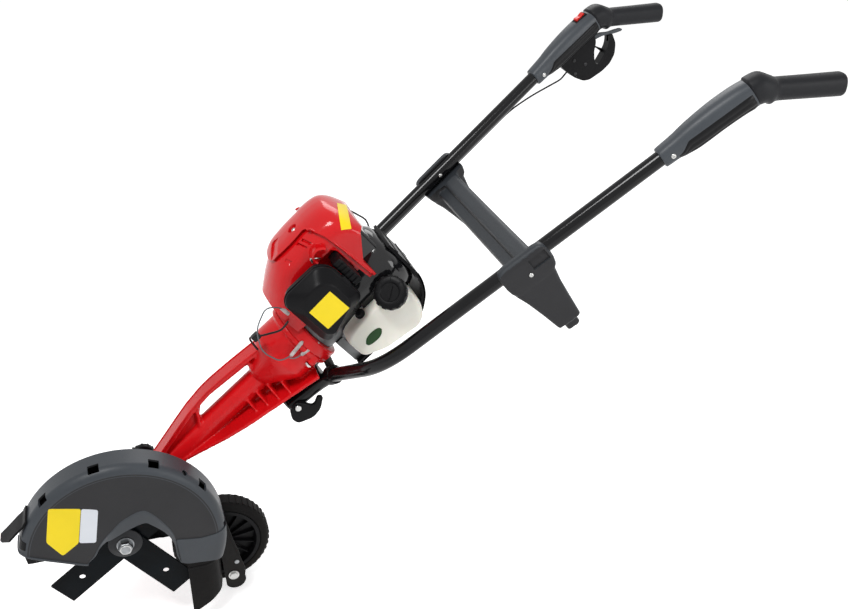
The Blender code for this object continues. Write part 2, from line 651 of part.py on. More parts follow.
def housing(hub, drive):
    left = GUARD_BACK_Y + GAP
    body = turned("drive_housing", hub, [
        (0.0, HEAD_RIGHT_Y), (HEAD_R, HEAD_RIGHT_Y), (HEAD_R, HEAD_LEFT_Y),
        (NOSE_R + 0.003, HEAD_LEFT_Y - 0.004), (NOSE_R, left), (0.0, left)],
        rotation=TO_Y, steps=24)
    tunnel = cylinder("tunnel", drive, (0.020, 0.0, -TUNNEL_DROP), TUNNEL_END - 0.020, TUNNEL_R,
                      TO_X, 20)
    bell = turned("bell", drive, [
        (0.0, BELL_START), (TUNNEL_R - 0.002, BELL_START), (BELL_R, BELL_FULL),
        (BELL_R, BELL_END - BELL_FLANGE_T), (BELL_FLANGE_R, BELL_END - BELL_FLANGE_T),
        (BELL_FLANGE_R, BELL_END), (0.0, BELL_END)], rotation=TO_X, steps=32)
    top = rail_line()
    web = plate("web", drive, [(0.030, -0.002)] + [(s, t - 0.002) for s, t in top]
                + [(0.350, -0.002)], WEB_T, "XZ", 0.0)
    window = rounded([(0.186, 0.0145), (0.210, 0.034), (0.304, 0.026), (0.298, 0.0145)],
                     0.004, 2)
    cut(web, plate("window", drive, window, 0.060, "XZ", 0.0))
    rail = sheet("rail", drive, [(s, t - RAIL_T / 2) for s, t in top], RAIL_W, RAIL_T, "XZ", 0.0)
    strut = sheet("strut", drive, [(0.178, 0.004), (0.203, 0.038)], RAIL_W - 0.006, 0.005,
                  "XZ", 0.0)
    slab_frame = empty("slab_frame", drive, (SLAB_AT[0], 0.0, SLAB_AT[1]), (0.0, SLAB_SLOPE, 0.0))
    half = [(-0.052, 0.020), (-0.020, 0.027), (0.030, 0.040), (0.070, 0.046),
            (0.204, SLAB_REAR_HALF)]
    outline = half + [(x, -y) for x, y in reversed(half)]
    slab = plate("slab", slab_frame, outline, SLAB_T, "XY", 0.0)
    keel = plate("keel", drive, [(0.120, -0.012), (0.360, -0.012), (0.360, -0.046),
                                 (0.180, -0.018)], WEB_T, "XZ", 0.0)
    join(body, tunnel, bell, web, rail, strut, slab, keel)
    for i, s in enumerate((0.262, 0.282, 0.302)):
        low = SLAB_AT[1] - (s - SLAB_AT[0]) * sin(SLAB_SLOPE) / cos(SLAB_SLOPE)
        rib = [(-0.040, low - 0.001), (0.040, low - 0.001), (0.014, -0.010), (-0.014, -0.010)]
        join(body, plate(f"rib_{i}", drive, rib, 0.003, "YZ", s))
    ear = capsule((0.016, 0.012), (STUD_X, STUD_Z), EAR_HALF_W)
    spacer = ARM_Y - GAP
    join(body, plate("ear", hub, ear, EAR_Y[1] - EAR_Y[0], "XZ", sum(EAR_Y) / 2))
    stud = turned("stud", hub, [
        (0.0, ARM_Y + ARM_T + 0.0105), (STUD_R, ARM_Y + ARM_T + 0.0105), (STUD_R, spacer),
        (0.009, spacer), (0.009, EAR_Y[1] - 0.003), (0.0, EAR_Y[1] - 0.003)],
        (STUD_X, 0.0, STUD_Z), TO_Y, 20)
    join(body, stud)

    pocket = left + GAP + ARBOR_BEARING_W + 0.004
    cut(body, turned("head_bore", hub, [
        (0.0, HEAD_RIGHT_Y + 0.004), (HEAD_CAVITY_R, HEAD_RIGHT_Y + 0.004),
        (HEAD_CAVITY_R, HEAD_CAVITY_Y), (ARBOR_R + 0.003, HEAD_CAVITY_Y),
        (ARBOR_R + 0.003, pocket), (ARBOR_BEARING_R + GAP, pocket),
        (ARBOR_BEARING_R + GAP, left - 0.004), (0.0, left - 0.004)], rotation=TO_Y, steps=24))
    mouth_r = BELL_R - BELL_WALL
    seat = SHAFT_BEARING_R + GAP
    cut(body, turned("shaft_bore", drive, [
        (0.0, 0.020), (SHAFT_R + GAP, 0.020), (SHAFT_R + GAP, BUSH_END_S),
        (SHAFT_BORE_R, BUSH_END_S + 0.003),
        (SHAFT_BORE_R, UPPER_BEARING_S - GAP), (seat, UPPER_BEARING_S - GAP),
        (seat, UPPER_BEARING_S + 0.011), (mouth_r, BELL_FULL + 0.004),
        (mouth_r, BELL_END + 0.006), (0.0, BELL_END + 0.006)], rotation=TO_X, steps=24))
    finish(body, RED, 0.28, smooth=30)

    inner = HEAD_RIGHT_Y + GAP
    outer = inner + COVER_T
    boss_r = ARBOR_BEARING_R + 0.006
    bearing_y = inner - ARBOR_BEARING_W - 0.0015
    cover = turned("gearbox_cover", hub, [
        (0.0, outer + COVER_BOSS_H), (COVER_BOSS_R, outer + COVER_BOSS_H), (COVER_BOSS_R, outer),
        (HEAD_R, outer), (HEAD_R, inner), (boss_r, inner), (boss_r, bearing_y),
        (ARBOR_BEARING_R + GAP, bearing_y), (ARBOR_BEARING_R + GAP, inner - 0.0005),
        (0.0, inner - 0.0005)], rotation=TO_Y, steps=28)
    finish(cover, ALLOY, 0.4, 1.0)
    bearing("arbor_bearing_right", hub, ARBOR_BEARING_R, ARBOR_R + GAP, ARBOR_BEARING_W,
            (0.0, bearing_y + 0.0005, 0.0), TO_Y)
    bearing("arbor_bearing_left", hub, ARBOR_BEARING_R, ARBOR_R + GAP, ARBOR_BEARING_W,
            (0.0, pocket - GAP - ARBOR_BEARING_W, 0.0), TO_Y)
    bearing("shaft_bearing_upper", drive, SHAFT_BEARING_R, SHAFT_R + GAP, SHAFT_BEARING_W,
            (UPPER_BEARING_S, 0.0, 0.0), TO_X)


def capsule(a, b, radius, steps=6):
    """The outline of a bar with round ends, from one point to another."""
    turn = 180.0 / pi * atan2(b[1] - a[1], b[0] - a[0])
    return arc(b, radius, turn - 90.0, turn + 90.0, steps) + arc(a, radius, turn + 90.0,
                                                                 turn + 270.0, steps)


def gears(blade, drive, shaft):
    bevel_wheel("bevel_gear", blade, GEAR_TEETH, (GEAR_FRONT_Y * GEAR_RATIO, GEAR_FRONT_Y),
                (GEAR_BACK_Y * GEAR_RATIO, GEAR_BACK_Y), TO_Y, (0.0, MESH_SHIFT / 2, 0.0),
                GEAR_HUB_R, GEAR_HUB_END_Y - GEAR_BACK_Y, ARBOR_R + GAP)
    small = GEAR_FRONT_Y * GEAR_RATIO
    large = GEAR_BACK_Y * GEAR_RATIO
    bevel_wheel("bevel_pinion", shaft, PINION_TEETH, (small / GEAR_RATIO, small),
                (large / GEAR_RATIO, large), TO_X, (MESH_SHIFT, 0.0, 0.0),
                PINION_HUB_R, PINION_HUB_L, SHAFT_R + GAP)
    hub_start = UPPER_BEARING_S + SHAFT_BEARING_W + 0.0035
    bar = cylinder("drive_shaft", shaft, (0.0155, 0.0, 0.0), DRUM_BASE_S - 0.0155, SHAFT_R, TO_X, 20)
    finish(bar, STEEL, 0.3, 1.0, 30)
    base = DRUM_BASE_S
    drum = turned("clutch_drum", shaft, [
        (SHAFT_R + GAP, hub_start), (DRUM_HUB_R, hub_start), (DRUM_HUB_R, base),
        (DRUM_R, base), (DRUM_R, DRUM_END_S), (DRUM_R - DRUM_WALL, DRUM_END_S),
        (DRUM_R - DRUM_WALL, base + 0.003), (0.0, base + 0.003), (0.0, base + GAP),
        (SHAFT_R + GAP, base + GAP)], rotation=TO_X, steps=24)
    finish(drum, STEEL, 0.4, 1.0)


def engine_core(drive, crank):
    front = BELL_END + GAP
    back = front + ADAPTER_T
    adapter = turned("engine_adapter", drive, [
        (BELL_FLANGE_R, front), (BELL_FLANGE_R, back), (CRANK_R + 0.001, back),
        (CRANK_R + 0.001, back - 0.006), (BELL_R - BELL_WALL, back - 0.006),
        (BELL_R - BELL_WALL, front)], rotation=TO_X, steps=32)
    finish(adapter, RED, 0.3)
    start = back + GAP
    case = turned("crankcase", drive, [
        (CRANKCASE_R, start), (CRANKCASE_R, CRANKCASE_END_S), (CRANK_R + GAP, CRANKCASE_END_S),
        (CRANK_R + GAP, CRANKCASE_END_S - CRANKCASE_WALL),
        (CRANKCASE_CAVITY_R, CRANKCASE_END_S - CRANKCASE_WALL),
        (CRANKCASE_CAVITY_R, start + CRANKCASE_WALL), (CRANK_R + GAP, start + CRANKCASE_WALL),
        (CRANK_R + GAP, start)], rotation=TO_X, steps=28)
    deck = CRANKCASE_R + 0.001
    join(case, box("deck", drive, (CYLINDER_S - FIN_HALF, -FIN_HALF, CRANKCASE_CAVITY_R + 0.002),
                   (CYLINDER_S + FIN_HALF, FIN_HALF, deck)))
    join(case, box("lug", drive, (LUG_S[0], -LUG_HALF_Y, LUG_FOOT_T),
                   (LUG_S[1], LUG_HALF_Y, -CRANKCASE_CAVITY_R - 0.002)))
    cut(case, cylinder("cylinder_opening", drive, (CYLINDER_S, 0.0, 0.020), 0.060,
                       CYLINDER_BORE_R + GAP, sides=24))
    finish(case, ALLOY, 0.45, 1.0, 30)

    base = deck + GAP
    barrel = cylinder("cylinder", drive, (CYLINDER_S, 0.0, base), CYLINDER_TOP_T - base,
                      CYLINDER_CORE_R, sides=12)
    for i in range(FIN_COUNT):
        low = FIN_FIRST_T + i * FIN_STEP
        join(barrel, box(f"fin_{i}", drive, (CYLINDER_S - FIN_HALF, -FIN_HALF, low),
                         (CYLINDER_S + FIN_HALF, FIN_HALF, low + FIN_T)))
    join(barrel, box("foot", drive, (CYLINDER_S - FIN_HALF, -FIN_HALF, base),
                     (CYLINDER_S + FIN_HALF, FIN_HALF, base + 0.004)))
    for side, name in ((-1, "intake_port"), (1, "exhaust_port")):
        edges = sorted((side * (CYLINDER_CORE_R - 0.004), side * (FIN_HALF + 0.0007)))
        join(barrel, box(name, drive, (CYLINDER_S - 0.017, edges[0], 0.053),
                         (CYLINDER_S + 0.017, edges[1], 0.079)))
    head = CYLINDER_TOP_T - 0.010
    cut(barrel, cylinder("bore", drive, (CYLINDER_S, 0.0, base - 0.010), head - base + 0.002,
                         CYLINDER_BORE_R, sides=16))
    cut(barrel, cylinder("plug_hole", drive, (CYLINDER_S, 0.0, head - 0.014), 0.040,
                         PLUG_R + GAP, sides=16))
    finish(barrel, ALLOY, 0.5, 1.0, 30)

    top = CYLINDER_TOP_T + GAP
    plug = turned("spark_plug", drive, [
        (0.0, top + 0.017), (0.003, top + 0.017), (0.0035, top + 0.008), (0.0092, top + 0.007),
        (0.0092, top), (PLUG_R, top), (PLUG_R, head - 0.004), (0.0, head - 0.004)],
        (CYLINDER_S, 0.0, 0.0), steps=16)
    finish(plug, (0.85, 0.85, 0.82), 0.3)

    bar = cylinder("crankshaft", crank, (CRANK_START_S, 0.0, 0.0), CRANK_END_S - CRANK_START_S,
                   CRANK_R, TO_X, 24)
    finish(bar, STEEL, 0.3, 1.0, 30)
    shoe_r = DRUM_R - DRUM_WALL - SHOE_CLEAR
    shoes = turned("clutch_shoes", crank, [
        (shoe_r, DRUM_BASE_S + 0.0045), (shoe_r, DRUM_END_S - 0.003), (CRANK_R + GAP,
                                                                       DRUM_END_S - 0.003),
        (CRANK_R + GAP, DRUM_BASE_S + 0.0045)], rotation=TO_X, steps=32)
    for i, z in enumerate((-0.026, 0.026)):
        cut(shoes, box(f"shoe_slot_{i}", crank, (DRUM_BASE_S, -0.002, z - 0.012),
                       (DRUM_END_S, 0.002, z + 0.012)))
    finish(shoes, (0.25, 0.22, 0.2), 0.6, 0.6)

    start, end = FLYWHEEL_S
    wheel = turned("flywheel", crank, [
        (CRANK_R + GAP, end), (FLYWHEEL_R, end), (FLYWHEEL_R, start), (0.030, start),
        (0.026, start + 0.014), (CRANK_R + 0.006, start + 0.014), (CRANK_R + 0.006, start - 0.006),
        (CRANK_R + GAP, start - 0.006)], rotation=TO_X, steps=24)
    finish(wheel, ALLOY, 0.45, 1.0)


def starter(drive, pulley_frame, grip_frame):
    start = CRANKCASE_END_S + GAP
    inner = RECOIL_R - RECOIL_WALL
    shell = cylinder("recoil_cover", drive, (start, 0.0, 0.0), RECOIL_END_S - start, RECOIL_R,
                     TO_X, 40)
    room_end = RECOIL_END_S - 0.006
    half = COVER_HALF_Y - 0.020
    join(shell, box("duct", drive, (start, -half, 0.020), (DUCT_END_S, half, DUCT_TOP_T)))
    cut(shell, cylinder("fan_room", drive, (start - 0.010, 0.0, 0.0),
                        room_end - start + 0.010, inner, TO_X, 40))
    cut(shell, box("duct_room", drive, (start - 0.010, RECOIL_WALL - half, 0.0),
                   (DUCT_END_S - RECOIL_WALL, half - RECOIL_WALL, DUCT_TOP_T - RECOIL_WALL)))
    join(shell, cylinder("pulley_post", drive, (PULLEY_S[0], 0.0, 0.0),
                         RECOIL_END_S - 0.002 - PULLEY_S[0], PULLEY_POST_R, TO_X, 20))
    rope = (0.0, cos(radians(30.0)), sin(radians(30.0)))
    middle = sum(PULLEY_S) / 2
    turn = (-radians(60.0), 0.0, 0.0)
    hole = [middle, rope[1] * 0.030, rope[2] * 0.030]
    cut(shell, cylinder("rope_hole", drive, hole, 0.040, 0.004, turn, 16))
    finish(shell, BLACK, 0.2, smooth=30)

    a, b = PULLEY_S
    pulley = turned("starter_pulley", pulley_frame, [
        (PULLEY_POST_R + GAP, b), (PULLEY_R, b), (PULLEY_R, b - 0.003), (PULLEY_R - 0.006, b - 0.004),
        (PULLEY_R - 0.006, a + 0.004), (PULLEY_R, a + 0.003), (PULLEY_R, a),
        (PULLEY_POST_R + GAP, a)], rotation=TO_X, steps=20)
    finish(pulley, RUBBER, 0.5)

    seat = RECOIL_R + GAP
    at = (middle, rope[1] * seat, rope[2] * seat)
    handle = turned("starter_grip", grip_frame, [
        (0.0, 0.020), (0.009, 0.020), (0.011, 0.016), (0.006, 0.009), (0.0065, 0.0),
        (0.0, 0.0)], at, turn, 16)
    rope_end = (middle, rope[1] * (seat - 0.012), rope[2] * (seat - 0.012))
    join(handle, cylinder("rope_stub", grip_frame, rope_end, 0.018, 0.0025, turn, 12))
    finish(handle, RUBBER, 0.6, smooth=40)


def shroud_rings(inset):
    """Cross sections of the engine's top cover, from front to rear, drawn in by an inset."""
    stations = [(0.404, 0.101, 0.034), (0.430, 0.1195, 0.034), (0.459, 0.137, 0.030),
                (0.484, 0.1415, 0.026), (0.508, 0.1425, 0.023), (0.540, 0.1415, 0.020),
                (0.560, 0.1375, 0.020), (0.572, 0.125, 0.020), (0.582, 0.103, 0.020)]
    rings = []
    for i, (s, top, foot) in enumerate(stations):
        half = COVER_HALF_Y - inset - (0.004 if i in (0, len(stations) - 1) else 0.0)
        top -= inset * 1.2
        if inset:
            foot -= 0.030
            s += inset if i == 0 else -inset if i == len(stations) - 1 else 0.0
            top += inset / 2 if i == 0 else 0.0
        side = [(half, foot), (half + 0.001, top - 0.036), (half - 0.006, top - 0.018),
                (half - 0.022, top - 0.007), (half - 0.040, top - 0.0015)]
        ring = [(y, t) for y, t in side] + [(-y, t) for y, t in reversed(side)]
        rings.append([Vector((s, y, t)) for y, t in ring])
    return rings


def covers(drive, cleaner_frame):
    cover = loft("top_cover", drive, shroud_rings(0.0))
    cut(cover, loft("cover_room", drive, shroud_rings(COVER_SHELL)))
    cut(cover, cylinder("bell_room", drive, (0.380, 0.0, 0.0), BELL_END + ADAPTER_T - 0.378,
                        BELL_FLANGE_R + 2 * GAP, TO_X, 32))
    left = [(0.431, 0.010), (0.431, 0.090), (0.440, 0.1015), (0.524, 0.1015), (0.5415, 0.024),
            (0.5415, 0.010)]
    cut(cover, plate("left_window", drive, left, 0.030, "XZ", -0.062))
    corner = [(0.548, 0.010), (0.548, 0.047), (0.576, 0.086), (0.640, 0.086), (0.640, 0.010)]
    cut(cover, plate("rear_window", drive, corner, 0.200, "XZ", 0.0))
    right = [(0.430, 0.010), (0.430, 0.094), (0.508, 0.094), (0.518, 0.0585), (0.560, 0.0585),
             (0.560, 0.010)]
    cut(cover, plate("right_window", drive, right, 0.030, "XZ", 0.062))
    s_in, y_in, t_in = COVER_ENTRY
    cut(cover, cylinder("cable_hole", drive, (s_in, COVER_HALF_Y - 0.012, t_in), 0.024,
                        CABLE_R + 2 * GAP, TO_Y, 12))
    for i in range(3):
        low = 0.420 + 0.012 * i
        cut(cover, box(f"vent_{i}", drive, (low, -0.075, 0.1030), (low + 0.006, -0.050, 0.1100)))
    finish(cover, RED, 0.25, smooth=35)

    s0, s1 = CLEANER_S
    t0, t1 = CLEANER_T
    def outline(inset):
        pts = [(s0 + inset, t0 + inset), (s1 - inset, t0 + inset), (s1 - inset, t1 - inset),
               (s0 + inset, t1 - inset)]
        return rounded(pts, CLEANER_CORNER, 2)
    split = CLEANER_SEAT_Y - GAP - CLEANER_BASE_T
    base = plate("air_cleaner_base", drive, outline(0.002), CLEANER_BASE_T, "XZ",
                 split + CLEANER_BASE_T / 2)
    cut(base, plate("base_room", drive, outline(0.002 + CLEANER_WALL), CLEANER_BASE_T, "XZ",
                    split + CLEANER_BASE_T / 2 - CLEANER_WALL))
    finish(base, RUBBER, 0.5)

    depth = split - GAP - CLEANER_OUT_Y
    rings = []
    for y, inset in ((split - GAP, 0.0), (split - GAP - depth * 0.45, 0.0),
                     (CLEANER_OUT_Y + 0.003, 0.008), (CLEANER_OUT_Y, 0.012)):
        rings.append([Vector((s, y, t)) for s, t in outline(inset)])
    lid = loft("air_cleaner_cover", cleaner_frame, rings)
    rings = []
    for y, inset in ((split + 0.002, 0.0), (split - GAP - depth * 0.45, 0.0),
                     (CLEANER_OUT_Y + CLEANER_WALL + 0.002, 0.008)):
        rings.append([Vector((s, y, t)) for s, t in outline(inset + CLEANER_WALL)])
    cut(lid, loft("lid_room", cleaner_frame, rings))
    finish(lid, RUBBER, 0.45, smooth=35)

    filter_out = CLEANER_OUT_Y + CLEANER_WALL + 0.0055
    filter_in = split + CLEANER_BASE_T - CLEANER_WALL - GAP
    pad = rounded([(s0 + 0.013, t0 + 0.013), (s1 - 0.013, t0 + 0.013), (s1 - 0.013, t1 - 0.013),
                   (s0 + 0.013, t1 - 0.013)], 0.012, 1)
    foam = plate("air_filter", drive, pad, filter_in - filter_out, "XZ",
                 (filter_in + filter_out) / 2)
    finish(foam, (0.3, 0.3, 0.28), 0.95)

    intake = FIN_HALF + 0.0007 + GAP
    carb = box("carburettor", drive, (CYLINDER_S - 0.016, CLEANER_SEAT_Y, 0.046),
               (CYLINDER_S + 0.024, -0.042, CARB_TOP[2]), 0.002)
    join(carb, box("carb_neck", drive, (CYLINDER_S - 0.015, -0.046, 0.054),
                   (CYLINDER_S + 0.015, -intake, 0.078)))
    cut(carb, cylinder("carb_throat", drive, (CYLINDER_S, CLEANER_SEAT_Y - 0.010, 0.066), 0.060,
                       0.008, TO_Y, 20))
    finish(carb, ALLOY, 0.45, 1.0)

    silencer = box("muffler", drive, (0.434, 0.046, 0.030), (0.504, 0.092, 0.090), 0.006)
    join(silencer, box("muffler_neck", drive, (CYLINDER_S - 0.014, intake, 0.056),
                       (CYLINDER_S + 0.014, 0.050, 0.076)))
    cut(silencer, cylinder("outlet", drive, (0.488, 0.080, 0.040), 0.020, 0.006, TO_Y, 16))
    finish(silencer, (0.1, 0.1, 0.1), 0.5, 0.8)


def tank(drive, cap_frame):
    low_y, high_y = TANK_HALF_Y
    outline = [(0.444, -0.028), (0.444, -0.062), (0.478, -0.079), (0.542, -0.089),
               (0.556, -0.080), (0.565, -0.062), (0.565, -0.024), (0.556, -0.012), (0.500, -0.010),
               (0.456, -0.018)]
    def body(name, inset):
        pts = []
        centre = Vector((0.505, -0.050))
        for p in outline:
            v = Vector(p) - centre
            pts.append(tuple(centre + v * (1.0 - inset / v.length * 1.3)))
        ob = plate(name, drive, pts, high_y - low_y - 2 * inset, "XZ", (low_y + high_y) / 2)
        return round_edges(ob, 0.010 - inset, 1, 60.0)
    ob = body("fuel_tank", 0.0)
    cut(ob, cylinder("case_room", drive, (0.400, 0.0, 0.0), 0.110, CRANKCASE_R + 0.002, TO_X, 32))
    cut(ob, cylinder("recoil_room", drive, (CRANKCASE_END_S - 0.002, 0.0, 0.0), 0.120,
                     RECOIL_R + 0.0006, TO_X, 32))
    room = body("tank_room", TANK_WALL)
    cut(room, cylinder("case_wall", drive, (0.400, 0.0, 0.0), 0.110 + TANK_WALL,
                       CRANKCASE_R + 0.002 + TANK_WALL, TO_X, 32))
    cut(room, cylinder("recoil_wall", drive, (CRANKCASE_END_S - 0.002 - TANK_WALL, 0.0, 0.0),
                       0.140, RECOIL_R + TANK_WALL, TO_X, 32))
    cut(ob, room)
    lean = Vector((0.0, -sin(NECK_LEAN), cos(NECK_LEAN)))
    turn = (NECK_LEAN, 0.0, 0.0)
    rim = Vector(CAP_AT) - lean * (CAP_TOP + GAP)
    spout = cylinder("neck", drive, rim - lean * NECK_LENGTH, NECK_LENGTH, NECK_R, turn, 28)
    cut(spout, cylinder("neck_relief", drive, (CRANKCASE_END_S, 0.0, 0.0), 0.120,
                        RECOIL_R + 0.0006, TO_X, 32))
    join(ob, spout)
    cut(ob, cylinder("neck_bore", drive, rim - lean * 0.030, 0.040, NECK_BORE_R, turn, 24))
    finish(ob, (0.8, 0.78, 0.68), 0.35, smooth=35)

    cap = turned("fuel_cap", cap_frame, [
        (0.0, 0.0), (CAP_R - 0.002, 0.0), (CAP_R, -0.002), (CAP_R, -CAP_H),
        (NECK_R + 0.0008, -CAP_H), (NECK_R + 0.0008, -CAP_TOP), (0.0, -CAP_TOP)],
        CAP_AT, turn, 32)
    finish(cap, BLACK, 0.4)

    seat = RECOIL_END_S + GAP + STRAP_T / 2
    path = [(0.425, LUG_FOOT_T - GAP - STRAP_T / 2), (0.478, -0.0868), (0.546, -0.0975),
            (0.575, -0.074), (seat, -0.046), (seat, 0.028)]
    path = rounded(path, 0.012, 2, closed=False)
    strap = sheet("tank_guard", drive, path, 2 * STRAP_HALF_Y, STRAP_T, "XZ", 0.0)
    cut(strap, cylinder("strap_room", drive, (0.480, 0.0, 0.0),
                        RECOIL_END_S + GAP - 0.480, RECOIL_R + GAP * 2, TO_X, 40))
    finish(strap, BLACK, 0.4, smooth=35)

    route = rounded([(0.489, -0.062, -0.0085), (0.487, -0.066, 0.008), (0.476, -0.070, 0.024),
                     (0.466, -0.066, 0.040), (0.466, -0.066, 0.0457)], 0.012, 3, closed=False)
    line = tube("fuel_line", drive, route, 0.0025, 2,
                [0.006, 0.006, 0.006] + [0.0025] * (len(route) - 3))
    finish(line, BLACK, 0.4, smooth=40)


# Wheel
def wheel_set(arm_frame, wheel_frame, knob_frame):
    mid = ARM_Y + ARM_T / 2
    axle_at = (WHEEL_X, WHEEL_Z)
    arm = plate("wheel_arm", arm_frame, capsule((0.0, 0.0), axle_at, ARM_HALF_W), ARM_T, "XZ", mid)
    sector = [(0.0, 0.0)] + arc((0.0, 0.0), QUADRANT_R, 12.0, 66.0, 8)
    join(arm, plate("sector", arm_frame, sector, ARM_T, "XZ", mid))
    join(arm, turned("arm_boss", arm_frame, [
        (0.022, ARM_Y + ARM_T), (0.022, ARM_Y), (0.0, ARM_Y), (0.0, ARM_Y + ARM_T)],
        rotation=TO_Y, steps=28))
    left, right = WHEEL_Y
    join(arm, turned("axle", arm_frame, [
        (0.0, ARM_Y + 0.001), (AXLE_R, ARM_Y + 0.001), (AXLE_R, right + 0.003),
        (0.012, right + 0.003), (0.012, right + GAP), (AXLE_R, right + GAP),
        (AXLE_R, left - GAP), (0.011, left - GAP), (0.011, left - 0.004), (0.0, left - 0.004)],
        (WHEEL_X, 0.0, WHEEL_Z), TO_Y, 24))
    cut(arm, cylinder("arm_bore", arm_frame, (0.0, ARM_Y - 0.010, 0.0), 0.030,
                      COVER_BOSS_R + GAP, TO_Y, 32))
    reach = hypot(STUD_X, STUD_Z)
    at = 180.0 / pi * atan2(STUD_Z, STUD_X)
    wide = STUD_R + 0.0006
    slot = arc((0.0, 0.0), reach + wide, at - 16.0, at + 16.0, 8)
    slot += arc((0.0, 0.0), reach - wide, at + 16.0, at - 16.0, 8)
    cut(arm, plate("arm_slot", arm_frame, slot, 0.030, "XZ", mid))
    for i, end in enumerate((at - 16.0, at + 16.0)):
        x, z = reach * cos(radians(end)), reach * sin(radians(end))
        cut(arm, cylinder(f"slot_end_{i}", arm_frame, (x, ARM_Y - 0.010, z), 0.030, wide, TO_Y, 16))
    finish(arm, BLACK, 0.45, 0.3, 30)

    washer = ARM_Y + ARM_T + 0.0008
    knob = turned("height_knob", knob_frame, [
        (0.0, washer + KNOB_H), (KNOB_R - 0.006, washer + KNOB_H), (KNOB_R, washer + KNOB_H - 0.006),
        (KNOB_R - 0.001, washer + 0.008), (0.010, washer + 0.006), (0.010, washer),
        (STUD_R + GAP, washer), (STUD_R + GAP, washer + 0.011), (0.0, washer + 0.011)],
        (STUD_X, 0.0, STUD_Z), TO_Y, 28)
    finish(knob, BLACK, 0.4)

    bore = AXLE_R + GAP
    middle = (left + right) / 2
    half = (right - left) / 2
    rim = TYRE_INNER_R - GAP
    disc = turned("wheel", wheel_frame, [
        (bore, half), (0.014, half), (0.015, 0.004), (0.054, 0.003), (0.056, half - 0.001),
        (rim, half - 0.001), (rim, -half + 0.001), (0.056, -half + 0.001), (0.054, -0.003),
        (0.015, -0.004), (0.014, -half), (bore, -half)],
        (WHEEL_X, middle, WHEEL_Z), TO_Y, 24)
    for i in range(5):
        a = 2 * pi * i / 5 + 0.5
        slot = box(f"wheel_slot_{i}", wheel_frame, (-0.008, -0.010, -0.004), (0.008, 0.010, 0.004))
        slot.location = (WHEEL_X + 0.034 * cos(a), middle, WHEEL_Z + 0.034 * sin(a))
        slot.rotation_euler = (0.0, -a, 0.0)
        cut(disc, slot)
    finish(disc, BLACK, 0.5)
    tyre = turned("tyre", wheel_frame, [
        (TYRE_INNER_R, half - 0.001), (TYRE_R - 0.006, half), (TYRE_R, half - 0.006),
        (TYRE_R, -half + 0.006), (TYRE_R - 0.006, -half), (TYRE_INNER_R, -half + 0.001)],
        (WHEEL_X, middle, WHEEL_Z), TO_Y, 40)
    finish(tyre, RUBBER, 0.85)


# Handlebar
def tube_at(along, side):
    """A point of the tube's straight centre line."""
    c, n = cos(HANDLE_TILT), sin(HANDLE_TILT)
    half = TUBE_HALF_Y + TUBE_SPLAY * (along - TUBE_HALF_AT)
    return Vector((along * c - TUBE_LINE_OFF * n, side * half, along * n + TUBE_LINE_OFF * c))


def tube_axes(side):
    """Directions along the tube's straight part, across it and square to both."""
    along = (tube_at(1.0, side) - tube_at(0.0, side)).normalized()
    across = Vector((0.0, 0.0, 1.0)).cross(along).normalized()
    return along, across, along.cross(across).normalized()


def tube_route(side):
    front = drive_point(0.300, -0.064, side * CLAMP_HALF_Y)
    rear = drive_point(0.376, -0.070, side * CLAMP_HALF_Y)
    knuckle = tube_at(KNUCKLE_AT, side)
    end = Vector((GRIP_END_X - 0.006, side * GRIP_END_HALF_Y, knuckle.z))
    return rounded([front, rear, tube_at(0.470, side), knuckle, end], 0.050, 3, closed=False)


def handle_tube(name, frame, side):
    route = tube_route(side)
    ob = tube(name, frame, route, TUBE_R, TUBE_SIDES)
    first, last = Vector(route[0]), Vector(route[-1])
    bore = [first + (first - Vector(route[1])).normalized() * 0.004] + route[1:-1]
    bore += [last + (last - Vector(route[-2])).normalized() * 0.004]
    cut(ob, tube(name + "_bore", frame, bore, TUBE_R - TUBE_WALL, 2))
    pin = drive_point(PIVOT_S, PIVOT_T)
    cut(ob, cylinder(name + "_pin_hole", frame, (pin.x, side * CLAMP_HALF_Y - 0.020, pin.z), 0.040,
                     PIVOT_R + GAP, TO_Y, 16))
    return finish(ob, BLACK, 0.15, 0.3, 35)


def tube_clearance(name, frame, side, extra=GAP):
    """A cutter that clears a handle tube all along."""
    return tube(name, frame, tube_route(side), TUBE_R + extra, TUBE_SIDES)


